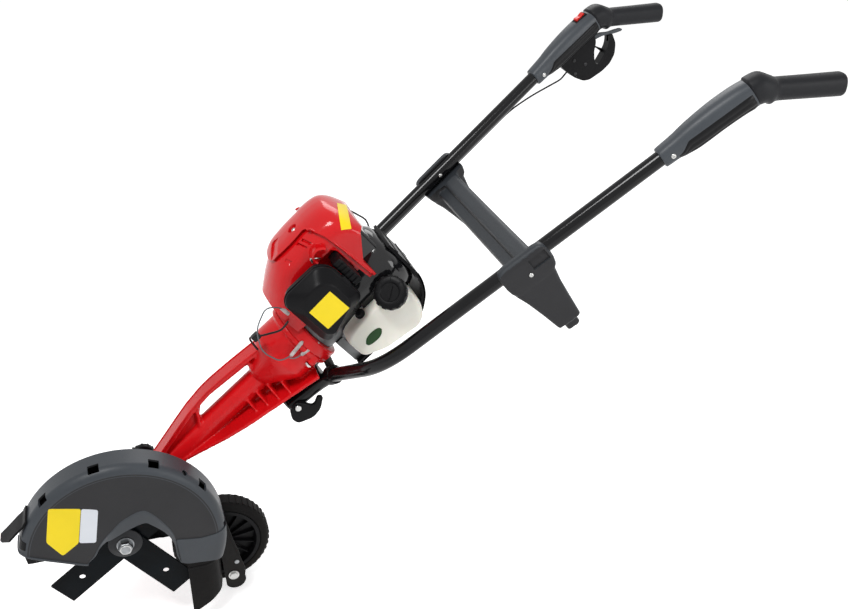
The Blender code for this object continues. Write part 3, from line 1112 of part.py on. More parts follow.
def handle_mount(drive, hub, bar, lever_frame):
    half = CLAMP_HALF_Y - TUBE_R - 0.0006
    slab_foot = -SLAB_T / 2 - GAP
    frame = empty("bracket_frame", drive, (SLAB_AT[0], 0.0, SLAB_AT[1]), (0.0, SLAB_SLOPE, 0.0))
    block = box("handle_bracket", frame, (0.128, -half, -0.040), (0.204, half, slab_foot - 0.003),
                0.003)
    wide = CLAMP_HALF_Y + TUBE_R - 0.001
    top = [(0.122, -wide), (0.206, -wide), (0.206, wide), (0.122, wide)]
    join(block, plate("bracket_top", frame, rounded(top, 0.006, 2), 0.004, "XY",
                      slab_foot - 0.002))
    cut(block, cylinder("bell_clear", drive, (BELL_START, 0.0, 0.0), BELL_END - BELL_START,
                        BELL_R + GAP, TO_X, 32))
    pin = drive_point(PIVOT_S, PIVOT_T)
    cut(block, cylinder("bracket_bore", hub, (pin.x, -0.030, pin.z), 0.060, PIVOT_R + GAP, TO_Y, 20))
    finish(block, BLACK, 0.45, 0.2)

    outer = CLAMP_HALF_Y + TUBE_R + GAP
    pivot = turned("pivot_pin", bar, [
        (0.0, outer + 0.005), (0.009, outer + 0.005), (0.009, outer), (PIVOT_R, outer),
        (PIVOT_R, -outer - 0.010), (0.0, -outer - 0.010)], (pin.x, 0.0, pin.z), TO_Y, 20)
    finish(pivot, STEEL, 0.35, 1.0)

    at = drive_point(0.387, -0.0712)
    rod = cylinder("handle_yoke", bar, (at.x, -0.040, at.z - 0.001), 0.080, 0.007, TO_Y, 20)
    for side in (-1, 1):
        point = drive_point(0.380, -0.0705, side * (CLAMP_HALF_Y + 0.0045))
        ring = cylinder(f"yoke_ring_{side}", bar, point, 0.014, TUBE_R + 0.004, TO_X, 24)
        ring.rotation_euler = (Vector(tube_route(side)[7]) - Vector(tube_route(side)[3])
                               ).to_track_quat("Z", "Y").to_euler()
        join(rod, ring)
        cut(rod, tube_clearance(f"yoke_clear_{side}", bar, side))
    finish(rod, BLACK, 0.4, 0.2, 35)

    def sd(s, t):
        p = drive_point(s, t)
        return (p.x, p.z)
    outline = [sd(0.301, -0.058), sd(0.291, -0.074), sd(0.293, -0.086), sd(0.316, -0.097),
               sd(0.334, -0.094), sd(0.351, -0.081), sd(0.346, -0.074), sd(0.330, -0.082),
               sd(0.324, -0.066), sd(0.318, -0.056)]
    lever_y = -outer - GAP - 0.004
    lever = plate("clamp_lever", lever_frame, rounded(outline, 0.006, 2), 0.008, "XZ", lever_y)
    cut(lever, cylinder("lever_bore", lever_frame, (pin.x, lever_y - 0.020, pin.z), 0.040,
                        PIVOT_R + GAP, TO_Y, 16))
    finish(lever, BLACK, 0.4)


def console(bar):
    """A cross piece that wraps both tubes and has a leg down from each."""
    parts = []
    for side in (-1, 1):
        along, across, up = tube_axes(side)
        centre = tube_at(CONSOLE_AT, side)
        half = CONSOLE_LENGTH / 2
        def block(name, rows, middle=centre, a=along, b=across, u=up):
            rings = []
            for drop, back, forth, wide in rows:
                ring = [(-back, -wide), (forth, -wide), (forth, wide), (-back, wide)]
                rings.append([middle + a * x + b * y - u * drop
                              for x, y in rounded(ring, 0.005, 1)])
            return loft(name, bar, rings)
        wide = CONSOLE_HALF_W
        saddle = block(f"saddle_{side}", [
            (-TUBE_R - 0.0035, half - 0.006, half - 0.006, wide - 0.005),
            (-TUBE_R + 0.003, half, half, wide), (TUBE_R + 0.006, half, half, wide),
            (0.034, half - 0.006, half - 0.010, wide - 0.001)])
        leg = block(f"leg_{side}", [
            (0.020, half - 0.001, half - 0.006, wide - 0.002),
            (0.055, 0.030, 0.027, wide - 0.002), (LEG_LENGTH, 0.019, 0.019, wide - 0.006)])
        foot = block(f"foot_{side}", [
            (LEG_LENGTH - 0.004, 0.010, 0.012, 0.006), (LEG_LENGTH + 0.013, 0.010, 0.011, 0.006)])
        parts += [saddle, leg, foot]
    along = tube_axes(0)[0]
    up = tube_axes(0)[2]
    rings = []
    span = abs(tube_at(CONSOLE_AT, 1).y) - CONSOLE_HALF_W + 0.006
    for k in range(7):
        y = span * (k / 3 - 1)
        sag = 0.006 * cos(pi / 2 * y / span)
        middle = Vector((0.0, y, 0.0)) + tube_at(CONSOLE_AT, 0) - up * (0.024 + sag)
        half = CROSSBAR_W / 2
        ring = [(-half, 0.015), (-half, -0.013), (half - 0.004, -0.015), (half, 0.013)]
        rings.append([middle + along * x + up * z for x, z in rounded(ring, 0.006, 2)])
    ob = loft("console", bar, rings)
    join(ob, *parts)
    for side in (-1, 1):
        _, across, up = tube_axes(side)
        inward, high, deep = 0.030, 0.030, TUBE_R + 0.0012
        open_side = box(f"open_side_{side}", bar, (-CONSOLE_LENGTH, -inward / 2, -(high + deep) / 2),
                        (CONSOLE_LENGTH, inward / 2, (high + deep) / 2))
        open_side.location = (tube_at(CONSOLE_AT, side) - across * side * (inward / 2 - 0.002)
                              + up * (high - deep) / 2)
        open_side.rotation_euler = square_to_tube(side)
        cut(ob, open_side)
        cut(ob, tube_clearance(f"console_clear_{side}", bar, side))
    cut(ob, tube("cable_clear", bar, [cable_line(0.880), cable_line(CABLE_SPLIT)],
                 CABLE_R + GAP, 2))
    return finish(ob, GREY, 0.5, smooth=35)


def shell_rings(side, extra=0.0):
    """Sections of the moulded shell around the upper end of a tube."""
    along, across, up = tube_axes(side)
    rows = [(0.0, 0.0135, 0.0132, 0.0135), (0.028, 0.0165, 0.0150, 0.0150),
            (0.045, 0.0188, 0.0176, 0.0165), (0.062, 0.0203, 0.0178, 0.0178),
            (0.090, 0.0215, 0.0172, 0.0192), (0.120, 0.0205, 0.0188, 0.0195),
            (SHELL_TO - SHELL_FROM, 0.0178, 0.0222, 0.0190)]
    rings = []
    for d, high, low, wide in rows:
        centre = tube_at(SHELL_FROM + d, side)
        if extra:
            d_end = {0.0: -extra, rows[-1][0]: extra}.get(d, 0.0)
            centre = centre + along * d_end
        rings.append(oval(centre, across, up, wide + extra, high + extra, low + extra))
    return rings


def switch_point():
    return tube_at(SWITCH_AT, 1) + tube_axes(1)[2] * SWITCH_LIFT


def handle_end(bar, side, name):
    """The moulded shell and the soft grip with its round knuckle."""
    shell = loft(f"{name}_handle_shell", bar, shell_rings(side))
    cut(shell, tube_clearance(f"{name}_shell_bore", bar, side))
    if side > 0:
        pocket = box("switch_room", bar, (-SWITCH_HALF[0] - 0.0008, -SWITCH_HALF[1] - GAP, -0.0045),
                     (SWITCH_HALF[0] + 0.0008, SWITCH_HALF[1] + GAP, 0.010))
        middle = (0.010 - 0.0045) / 2
        pocket.location = switch_point() + tube_axes(1)[2] * middle
        pocket.rotation_euler = square_to_tube(1)
        cut(shell, pocket)
    finish(shell, GREY, 0.5, smooth=40)

    along, across, up = tube_axes(side)
    knuckle = tube_at(KNUCKLE_AT, side)
    start = tube_at(SHELL_TO, side) + along * GAP
    end = Vector((GRIP_END_X, side * GRIP_END_HALF_Y, knuckle.z))
    flat = (end - knuckle).normalized()
    flat_across = Vector((0.0, 0.0, 1.0)).cross(flat).normalized()
    flat_up = flat.cross(flat_across).normalized()
    middle = (along + flat).normalized()
    mid_up = middle.cross(across).normalized()
    rings = [oval(start, across, up, 0.0182, 0.0172, 0.0212),
             oval(start + along * 0.005, across, up, 0.0200, 0.0195, 0.0232),
             oval(knuckle + middle * 0.013, across, mid_up, 0.0202, 0.0200, 0.0225),
             oval(knuckle + flat * 0.024, flat_across, flat_up, 0.0185, 0.0180, 0.0198),
             oval(knuckle + flat * 0.032, flat_across, flat_up, 0.0150, 0.0150, 0.0166),
             oval(knuckle + flat * 0.075, flat_across, flat_up, 0.0150, 0.0152, 0.0160),
             oval(end - flat * 0.006, flat_across, flat_up, GRIP_R - 0.0005, GRIP_R, GRIP_R),
             oval(end, flat_across, flat_up, GRIP_R - 0.005, GRIP_R - 0.005, GRIP_R - 0.005)]
    grip = loft(f"{name}_grip", bar, rings)
    cut(grip, tube_clearance(f"{name}_grip_bore", bar, side))
    finish(grip, RUBBER, 0.6, smooth=50)


def throttle(bar, trigger_frame, switch_frame):
    """Housing with a finger ring under the right handle, its trigger and the stop switch."""
    middle = TUBE_HALF_Y + TUBE_SPLAY * (1.060 - TUBE_HALF_AT)
    outline = [(0.8185, 0.5695), (0.8440, 0.5505), (0.8625, 0.5430), (0.8740, 0.5440),
               (0.8970, 0.5573), (0.9110, 0.5700), (0.9187, 0.5856), (0.9190, 0.6045),
               (0.9110, 0.6215), (0.9050, 0.6195), (0.9060, 0.6080), (0.9040, 0.5975),
               (0.8975, 0.5855), (0.8875, 0.5685), (0.8810, 0.5765), (0.8790, 0.5940),
               (0.8815, 0.6080), (0.8785, 0.6195), (0.8680, 0.6240), (0.8155, 0.5840)]
    body = plate("throttle_housing", bar, rounded(outline, 0.004, 2), RING_W, "XZ", middle)
    link = [(0.8770, 0.6000), (0.8770, 0.5965), (0.8890, 0.5955), (0.8975, 0.5895),
            (0.9005, 0.5840), (0.9060, 0.5890), (0.9000, 0.5938), (0.8870, 0.5990)]
    join(body, plate("ring_link", bar, link, 0.004, "XZ", middle + RING_W / 2 - 0.003))
    cut(body, loft("shell_room", bar, shell_rings(1, GAP)))
    knuckle = tube_at(KNUCKLE_AT, 1)
    cut(body, cylinder("knuckle_room", bar, knuckle - Vector((0.012, 0.0, 0.0)), 0.040, 0.0262,
                       TO_X, 32))
    lever_y = middle - 0.003
    cut(body, box("trigger_room", bar, (0.8655, lever_y - 0.0036, 0.6055),
                  (0.8865, lever_y + 0.0036, 0.640)))
    cut(body, box("trigger_slot", bar, (0.9000, lever_y - 0.0036, 0.6075),
                  (0.9300, lever_y + 0.0036, 0.640)))
    mouth = Vector(CABLE_ENTRY) - Vector((0.0039, 0.0, 0.0046))
    cut(body, cylinder("cable_entry", bar, mouth, 0.024, CABLE_R + GAP, (0.0, 0.7, 0.0), 12))
    finish(body, BLACK, 0.5, smooth=35)

    arm = [(0.8690, 0.6095), (0.8760, 0.6095), (0.8835, 0.6135), (0.8965, 0.6185),
           (0.9105, 0.6195), (0.9215, 0.6215), (0.9300, 0.6240), (0.9315, 0.6270),
           (0.9270, 0.6285), (0.9160, 0.6265), (0.9040, 0.6235), (0.8900, 0.6232),
           (0.8825, 0.6215), (0.8770, 0.6175), (0.8690, 0.6140)]
    lever = plate("throttle_trigger", trigger_frame, rounded(arm, 0.003, 1), 0.0062, "XZ",
                  lever_y)
    finish(lever, GREY, 0.5)

    rocker = box("stop_switch", switch_frame, (-SWITCH_HALF[0], -SWITCH_HALF[1], -0.0032),
                 (SWITCH_HALF[0], SWITCH_HALF[1], 0.0035), 0.0006)
    finish(rocker, (0.8, 0.1, 0.04), 0.4)


def square_to_tube(side):
    """The rotation of a frame with x along the tube and z square to it."""
    return Matrix(tube_axes(side)).transposed().to_euler()


def cable_line(at):
    """The cable's place against the underside of the right tube."""
    return tube_at(at, 1) - tube_axes(1)[2] * (TUBE_R + CABLE_R + GAP)


def cables(bar, drive):
    """The throttle cable, held along the right tube and then free down to the carburettor."""
    along, across, up = tube_axes(1)
    start = Vector(CABLE_ENTRY)
    route = [start, start - Vector((0.010, 0.0, 0.012)), cable_line(0.925) - up * 0.010,
             cable_line(0.880), cable_line(CABLE_SPLIT + GAP)]
    upper = tube("throttle_cable", bar, rounded(route, 0.020, 4, closed=False), CABLE_R, 2)
    finish(upper, BLACK, 0.4, smooth=50)

    away = Matrix.Rotation(DRIVE_TILT, 3, "Y")
    begin = away @ cable_line(CABLE_SPLIT)
    run = away @ cable_line(CABLE_SPLIT - 0.020)
    aside = away @ (cable_line(CABLE_SPLIT - 0.034) - across * 0.022)
    s_in, y_in, t_in = COVER_ENTRY
    route = [begin, run, aside, Vector((0.580, 0.112, 0.010)), Vector((s_in, y_in + 0.012, t_in)),
             Vector((s_in, COVER_HALF_Y - 0.010, t_in)), Vector((0.540, 0.046, 0.100)),
             Vector((0.500, -0.010, 0.114)), Vector((0.478, -0.046, 0.114)),
             Vector((CARB_TOP[0], CARB_TOP[1], 0.104)),
             Vector((CARB_TOP[0], CARB_TOP[1], CARB_TOP[2] + GAP))]
    lower = tube("throttle_cable_lower", drive, rounded(route, 0.009, 2, closed=False), CABLE_R, 2)
    finish(lower, BLACK, 0.4, smooth=50)


def wire_loop(drive):
    """The thin wire that hangs in a loop at the left of the bell."""
    rest = BELL_R + GAP + 0.003
    turn = radians(14.0)
    end_y, end_t = -rest * cos(turn), rest * sin(turn)
    route = [(0.4175, -0.0615, 0.073), (0.4175, -0.063, 0.088), (0.404, -0.066, 0.106),
             (0.370, -0.066, 0.091), (0.349, -0.064, 0.057), (0.354, -0.060, 0.024),
             (0.3655, end_y, end_t), (0.384, end_y, end_t)]
    points = rounded(route, 0.014, 2, closed=False)
    thick = [0.001] * len(points)
    thick[0] = thick[1] = 0.0016
    thick[-2] = thick[-1] = 0.003
    finish(tube("wire_loop", drive, points, 0.001, 2, thick), (0.3, 0.31, 0.32), 0.5, smooth=50)


def stand_on_ground(root):
    """Moves the whole machine so that its lowest point is at z = 0, centred over the origin."""
    bpy.context.view_layer.update()
    deps = bpy.context.evaluated_depsgraph_get()
    low = Vector((1e9, 1e9, 1e9))
    high = -low
    for ob in PARTS.objects:
        mesh = ob.evaluated_get(deps).to_mesh()
        for vert in mesh.vertices:
            co = ob.matrix_world @ vert.co
            low = Vector(map(min, low, co))
            high = Vector(map(max, high, co))
        ob.evaluated_get(deps).to_mesh_clear()
    root.location = (-(low.x + high.x) / 2, -(low.y + high.y) / 2, -low.z)
    bpy.context.view_layer.update()


def build():
    hub = empty("hub_axis")
    drive = empty("drive_line", hub, rotation=(0.0, -DRIVE_TILT, 0.0))
    blade = empty("blade_axis", hub)
    shaft = empty("shaft_axis", drive)
    crank = empty("crank_axis", drive)
    pulley = empty("pulley_axis", drive)
    starter_pull = empty("starter_axis", drive)
    arm = empty("wheel_arm_axis", hub)
    wheel = joint_frame("wheel_axis", arm, (WHEEL_X, 0.0, WHEEL_Z))
    knob = joint_frame("knob_axis", hub, (STUD_X, 0.0, STUD_Z))
    pin = drive_point(PIVOT_S, PIVOT_T)
    bar = joint_frame("handlebar_axis", hub, tuple(pin))
    lever = joint_frame("lever_axis", bar, tuple(pin))
    cap = joint_frame("cap_axis", drive, CAP_AT)
    hinge_y = CLEANER_SEAT_Y - GAP - CLEANER_BASE_T - GAP
    cleaner = joint_frame("cleaner_axis", drive, (CLEANER_S[0], hinge_y, CLEANER_T[0]))
    trigger = joint_frame("trigger_axis", bar, (TRIGGER_AT[0], 0.0, TRIGGER_AT[1]))
    switch = empty("switch_axis", bar, switch_point(), square_to_tube(1))

    blade_end(blade)
    guard(hub)
    housing(hub, drive)
    gears(blade, drive, shaft)
    engine_core(drive, crank)
    starter(drive, pulley, starter_pull)
    covers(drive, cleaner)
    tank(drive, cap)
    wheel_set(arm, wheel, knob)
    handle_mount(drive, hub, bar, lever)
    handle_tube("left_tube", bar, -1)
    handle_tube("right_tube", bar, 1)
    console(bar)
    handle_end(bar, -1, "left")
    handle_end(bar, 1, "right")
    throttle(bar, trigger, switch)
    cables(bar, drive)
    wire_loop(drive)
    stand_on_ground(hub)


clear_scene()
PARTS = new_collection("lawn_edger")
CUTTERS = new_collection("cutters")
GUIDES = new_collection("guides")
build()
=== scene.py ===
"""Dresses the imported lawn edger: materials, mouldings, castings, fixings and cables."""

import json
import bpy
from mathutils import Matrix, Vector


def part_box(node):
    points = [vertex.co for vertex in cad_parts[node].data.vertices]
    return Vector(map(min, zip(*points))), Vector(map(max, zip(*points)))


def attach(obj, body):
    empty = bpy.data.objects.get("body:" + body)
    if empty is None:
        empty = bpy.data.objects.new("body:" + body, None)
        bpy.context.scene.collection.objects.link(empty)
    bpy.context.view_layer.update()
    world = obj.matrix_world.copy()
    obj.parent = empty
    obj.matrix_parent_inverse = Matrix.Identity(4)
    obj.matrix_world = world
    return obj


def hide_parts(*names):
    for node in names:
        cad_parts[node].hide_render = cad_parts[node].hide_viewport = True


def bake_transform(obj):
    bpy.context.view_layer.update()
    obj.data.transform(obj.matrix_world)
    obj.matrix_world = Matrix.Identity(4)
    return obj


bl_info = {"name": "Petrol lawn edger", "version": (1, 0, 0), "blender": (4, 5, 0),
           "location": "View3D > Sidebar > Lawn edger",
           "description": "Builds the finished look of a petrol lawn edger over its packed solids",
           "category": "Object",}

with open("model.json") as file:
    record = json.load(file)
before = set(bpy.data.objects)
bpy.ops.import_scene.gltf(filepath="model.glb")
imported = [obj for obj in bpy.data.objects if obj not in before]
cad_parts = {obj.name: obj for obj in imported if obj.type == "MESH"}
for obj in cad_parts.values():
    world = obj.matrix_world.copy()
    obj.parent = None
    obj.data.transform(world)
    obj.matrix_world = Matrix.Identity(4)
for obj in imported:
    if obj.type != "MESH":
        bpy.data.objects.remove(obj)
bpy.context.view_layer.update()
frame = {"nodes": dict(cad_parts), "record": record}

from math import atan2, cos, degrees, pi, radians, sin, sqrt

import bmesh
import bpy
from bpy.props import FloatProperty, FloatVectorProperty, IntProperty, PointerProperty
from mathutils import Matrix, Vector
from mathutils.bvhtree import BVHTree

BODY_OF = {n: b for b, nodes in frame["record"]["behaviour"]["bodies"].items() for n in nodes}
FLANGE = [sum(pair) / 2 for pair in zip(*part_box("outer_flange"))]
HUB = Matrix.Translation((FLANGE[0], 0.0, FLANGE[2]))
DRIVE = HUB @ Matrix.Rotation(radians(-40.0), 4, "Y")
SLAB = DRIVE @ Matrix.Translation((0.17, 0.0, -0.018)) @ Matrix.Rotation(0.1521, 4, "Y")
HANDLE_TILT = radians(38.02)
HANDLE_RISE = -0.0314
CAMERA = Vector((0.071, -1.336, 1.008))
NEAR_HUB, SPREAD = 0.2084, 0.133
GRIP_Y = 0.244
CONSOLE_AT, SHELL_AT, SWITCH_AT, KNUCKLE_AT = 0.716, 0.946, 1.07, 1.09
UNDER_TUBE = 0.0128
TUBE_RADIUS = 0.011
FILM = 0.0003
MADE = {}
ORDER = {"Y": lambda a, b, h: (a, h, b), "X": lambda a, b, h: (h, a, b),
         "Z": lambda a, b, h: (a, b, h)}
ORDER.update(XZ=ORDER["Y"], YZ=ORDER["X"], XY=ORDER["Z"])


# Small maths
def mm(text):
    """Points written in millimetres: "0 42, 40 42" is [(0.0, 0.042), (0.04, 0.042)]."""
    return [tuple(round(float(n) / 1000, 6) for n in point.split()) for point in text.split(",")]


def shift(x, y, z):
    return Matrix.Translation((x, y, z))


def turned(angle, axis):
    return Matrix.Rotation(radians(angle), 4, axis)


def facing(aim):
    """A turn that points local Z along the aim."""
    return aim.to_track_quat("Z", "Y").to_matrix().to_4x4()


def lerp(a, b, f):
    return a + (b - a) * f


def ease(x, low, high):
    """0 below low, 1 above high and a soft slope between them."""
    f = min(max((x - low) / (high - low), 0.0), 1.0)
    return f * f * (3 - 2 * f)


def spline(points, steps):
    """A smooth line through the points, which may hold any number of coordinates."""
    out = []
    last = len(points) - 1
    for i in range(last):
        a, b, c, d = (points[max(i - 1, 0)], points[i], points[i + 1], points[min(i + 2, last)])
        for k in range(steps):
            f = k / steps
            out.append(tuple(0.5 * (2 * q + (r - p) * f + (2 * p - 5 * q + 4 * r - w) * f * f
                                    + (3 * q - p - 3 * r + w) * f ** 3)
                             for p, q, r, w in zip(a, b, c, d)))
    return out + [tuple(points[-1])]


def rounded(points, radius, steps=4, closed=True):
    """A line of points with its corners turned into arcs."""
    pts = [Vector(p) for p in points]
    out = []
    for i, p in enumerate(pts):
        if not closed and i in (0, len(pts) - 1):
            out.append(p)
            continue
        a, b = pts[i - 1] - p, pts[(i + 1) % len(pts)] - p
        back = min(radius, a.length * 0.45, b.length * 0.45)
        start, end = p + a.normalized() * back, p + b.normalized() * back
        for k in range(steps + 1):
            f = k / steps
            out.append(start * (1 - f) ** 2 + p * 2 * f * (1 - f) + end * f * f)
    return out


def arc(centre, radius, start, end, steps):
    return [(centre[0] + radius * cos(radians(lerp(start, end, k / steps))),
             centre[1] + radius * sin(radians(lerp(start, end, k / steps))))
            for k in range(steps + 1)]


def capsule(a, b, radius, steps=12):
    turn = degrees(atan2(b[1] - a[1], b[0] - a[0]))
    return (arc(b, radius, turn - 90, turn + 90, steps)
            + arc(a, radius, turn + 90, turn + 270, steps))


# Mesh helpers: each returns an object at the origin with its place in its mesh
def new_object(name, bm, place=None, recalc=True):
    if place is not None:
        bmesh.ops.transform(bm, matrix=place, verts=bm.verts)
    if recalc:
        bmesh.ops.recalc_face_normals(bm, faces=bm.faces)
    mesh = bpy.data.meshes.new(name)
    bm.to_mesh(mesh)
    bm.free()
    ob = bpy.data.objects.new(name, mesh)
    bpy.context.scene.collection.objects.link(ob)
    return ob


def settle(ob):
    """Turns the object's modifiers into plain mesh."""
    bpy.context.view_layer.update()
    deps = bpy.context.evaluated_depsgraph_get()
    mesh = bpy.data.meshes.new_from_object(ob.evaluated_get(deps), depsgraph=deps)
    ob.modifiers.clear()
    ob.data = mesh
    return ob


def drop(*objects):
    for ob in objects:
        bpy.data.objects.remove(ob, do_unlink=True)


def carve(ob, *tools, operation="DIFFERENCE"):
    for tool in tools:
        mod = ob.modifiers.new("carve", "BOOLEAN")
        mod.operation = operation
        mod.solver = "EXACT"
        mod.object = tool
    settle(ob)
    drop(*tools)
    return ob


def soften(ob, width, segments=3, angle=35.0):
    """Rounds the sharp edges and leaves the flats flat."""
    mod = ob.modifiers.new("soften", "BEVEL")
    mod.width = width
    mod.segments = segments
    mod.limit_method = "ANGLE"
    mod.angle_limit = radians(angle)
    mod.use_clamp_overlap = True
    settle(ob)
    ob.data.shade_smooth()
    mod = ob.modifiers.new("flats", "WEIGHTED_NORMAL")
    mod.keep_sharp = True
    return settle(ob)


def smooth(ob, angle=40.0):
    ob.data.shade_smooth()
    ob.data.set_sharp_from_angle(angle=radians(angle))
    return ob


def cast(ob, grain=0.0016, passes=6):
    """Melts overlapping blocks into one casting with soft inner corners."""
    mod = ob.modifiers.new("melt", "REMESH")
    mod.mode = "VOXEL"
    mod.voxel_size = grain
    mod.adaptivity = 0.0
    mod = ob.modifiers.new("relax", "SMOOTH")
    mod.factor = 0.5
    mod.iterations = passes
    settle(ob)
    ob.data.shade_smooth()
    return ob


def thin(ob, share):
    mod = ob.modifiers.new("thin", "DECIMATE")
    mod.ratio = share
    return settle(ob)


def merge(name, objects):
    """One object from several."""
    bm = bmesh.new()
    for ob in objects:
        bm.from_mesh(ob.data)
    drop(*objects)
    return new_object(name, bm, recalc=False)


def lathe(name, profile, place, steps=96, axis="Y"):
    """A profile of (radius, height) turned round an axis; radius 0 closes it."""
    bm = bmesh.new()
    rings = []
    for r, h in profile:
        if r < 1e-6:
            points = [(0.0, 0.0)]
        else:
            points = [(r * cos(2 * pi * k / steps), r * sin(2 * pi * k / steps))
                      for k in range(steps)]
        rings.append([bm.verts.new(ORDER[axis](a, b, h)) for a, b in points])
    closed = profile[0][0] > 1e-6
    for low, high in zip(rings, rings[1:] + (rings[:1] if closed else [])):
        for k in range(steps):
            loop = [low[k % len(low)], low[(k + 1) % len(low)], high[(k + 1) % len(high)],
                    high[k % len(high)]]
            unique = list(dict.fromkeys(loop))
            if len(unique) > 2:
                bm.faces.new(unique)
    return new_object(name, bm, place)


def rod(name, radius, low, high, place, steps=96, axis="Y"):
    """A plain cylinder between two heights."""
    return lathe(name, [(0.0, low), (radius, low), (radius, high), (0.0, high)], place, steps,
                 axis)


def prism(name, outline, low, high, place, plane="XZ"):
    """A flat outline given a thickness across its plane."""
    bm = bmesh.new()
    near, far = [[bm.verts.new(ORDER[plane](p[0], p[1], h)) for p in outline] for h in (low, high)]
    bm.faces.new(near)
    bm.faces.new(far)
    walls(bm, [near, far])
    return new_object(name, bm, place)


def walls(bm, loops):
    """Faces between each loop of corners and the next."""
    for low, high in zip(loops, loops[1:]):
        for i in range(len(low)):
            j = (i + 1) % len(low)
            bm.faces.new((low[i], low[j], high[j], high[i]))


def capped(name, bm, loops, place):
    """An object from loops of corners, with walls between them and a cap at each end."""
    walls(bm, loops)
    bm.faces.new(loops[0])
    bm.faces.new(loops[-1])
    return new_object(name, bm, place)


def loft(name, rings, place=None):
    bm = bmesh.new()
    return capped(name, bm, [[bm.verts.new(p) for p in ring] for ring in rings], place)


def block(name, low, high, place):
    bm = bmesh.new()
    middle = [(a + b) / 2 for a, b in zip(low, high)]
    size = [b - a for a, b in zip(low, high)]
    bmesh.ops.create_cube(bm, size=1.0, matrix=Matrix.Diagonal((*size, 1.0)))
    return new_object(name, bm, place @ Matrix.Translation(middle))


def ahead_at(pts, i):
    """The direction of a line at one of its points."""
    return (pts[min(i + 1, len(pts) - 1)] - pts[max(i - 1, 0)]).normalized()


def sweep(name, points, radius, place=None, sides=20):
    """A round bar along a line; radius may be a list with one value for each point."""
    pts = [Vector(p) for p in points]
    radii = radius if isinstance(radius, (list, tuple)) else [radius] * len(pts)
    bm = bmesh.new()
    loops = []
    side = None
    for i, p in enumerate(pts):
        ahead = ahead_at(pts, i)
        if side is None:
            side = ahead.orthogonal().normalized()
        side = (side - ahead * side.dot(ahead)).normalized()
        up = ahead.cross(side)
        loops.append([bm.verts.new(p + (side * cos(a) + up * sin(a)) * radii[i])
                      for a in (2 * pi * k / sides for k in range(sides))])
    return capped(name, bm, loops, place)


def band(name, path, width, thick, place, plane="XZ", centre=0.0):
    """A strip of sheet that follows a path in a plane, with its width across it."""
    pts = [Vector(p) for p in path]
    outer, inner = [], []
    for i, p in enumerate(pts):
        ahead = ahead_at(pts, i)
        normal = Vector((-ahead[1], ahead[0]))
        outer.append(p + normal * thick / 2)
        inner.append(p - normal * thick / 2)
    return prism(name, outer + inner[::-1], centre - width / 2, centre + width / 2, place, plane)


def coat(ob, material):
    ob.data.materials.clear()
    ob.data.materials.append(MADE[material])


def dress(ob, material, *nodes, body="frame", slot=None):
    """Gives the piece its material, its body and the solids that it stands for."""
    coat(ob, material)
    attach(ob, BODY_OF[nodes[0]] if nodes else body)
    if nodes:
        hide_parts(*nodes)
    return ob


# Node trees for what repeats
def feed(tree, node, *ordered, **named):
    """Fills a node's inputs, by place or name, with values or with sockets to be linked."""
    for key, value in [*enumerate(ordered), *named.items()]:
        socket = node.inputs[key.replace("_", " ") if isinstance(key, str) else key]
        if isinstance(value, bpy.types.NodeSocket):
            tree.links.new(value, socket)
        else:
            socket.default_value = value
    return node


def add(tree, kind, *ordered, **named):
    """A new node with its inputs filled."""
    return feed(tree, tree.nodes.new(kind), *ordered, **named)


def tree_with(name, **sockets):
    """An empty tree, the sockets that go into it and its output node."""
    tree = bpy.data.node_groups.new(name, "GeometryNodeTree")
    for label, kind in sockets.items():
        tree.interface.new_socket(label, in_out="INPUT", socket_type="NodeSocket" + kind)
    tree.interface.new_socket("Geometry", in_out="OUTPUT", socket_type="NodeSocketGeometry")
    return tree, tree.nodes.new("NodeGroupInput").outputs, tree.nodes.new("NodeGroupOutput")


def end_tree(tree, instances, given, group_out):
    real = add(tree, "GeometryNodeRealizeInstances", instances)
    painted = add(tree, "GeometryNodeSetMaterial", Geometry=real.outputs[0],
                  Material=given["Material"])
    feed(tree, group_out, painted.outputs[0])
    return tree


def ring_tree():
    """Blocks set evenly round local Z, each facing out."""
    tree, given, out = tree_with("Ring of blocks", Count="Int", Radius="Float", Size="Vector",
                                 Material="Material")
    circle = add(tree, "GeometryNodeMeshCircle", Vertices=given["Count"], Radius=given["Radius"])
    cube = add(tree, "GeometryNodeMeshCube", Size=given["Size"])
    where = add(tree, "GeometryNodeInputPosition")
    align = add(tree, "FunctionNodeAlignRotationToVector", Vector=where.outputs[0])
    align.axis = "X"
    onto = add(tree, "GeometryNodeInstanceOnPoints", Points=circle.outputs[0],
               Instance=cube.outputs[0], Rotation=align.outputs[0])
    return end_tree(tree, onto.outputs[0], given, out)


def row_tree():
    """Blocks set one after another."""
    tree, given, out = tree_with("Row of blocks", Count="Int", Step="Vector", Size="Vector",
                                 Material="Material")
    line = add(tree, "GeometryNodeMeshLine", Count=given["Count"], Offset=given["Step"])
    cube = add(tree, "GeometryNodeMeshCube", Size=given["Size"])
    onto = add(tree, "GeometryNodeInstanceOnPoints", Points=line.outputs[0],
               Instance=cube.outputs[0])
    return end_tree(tree, onto.outputs[0], given, out)


def scatter_tree():
    """A fixing on each point, with its local Z turned to the point's aim."""
    tree, given, out = tree_with("Fixings on points", Points="Geometry", Fixing="Object",
                                 Material="Material")
    info = add(tree, "GeometryNodeObjectInfo", Object=given["Fixing"])
    aim = add(tree, "GeometryNodeInputNamedAttribute", Name="aim")
    aim.data_type = "FLOAT_VECTOR"
    align = add(tree, "FunctionNodeAlignRotationToVector", Vector=aim.outputs["Attribute"])
    align.axis = "Z"
    onto = add(tree, "GeometryNodeInstanceOnPoints", Points=given["Points"],
               Instance=info.outputs["Geometry"], Rotation=align.outputs[0])
    return end_tree(tree, onto.outputs[0], given, out)


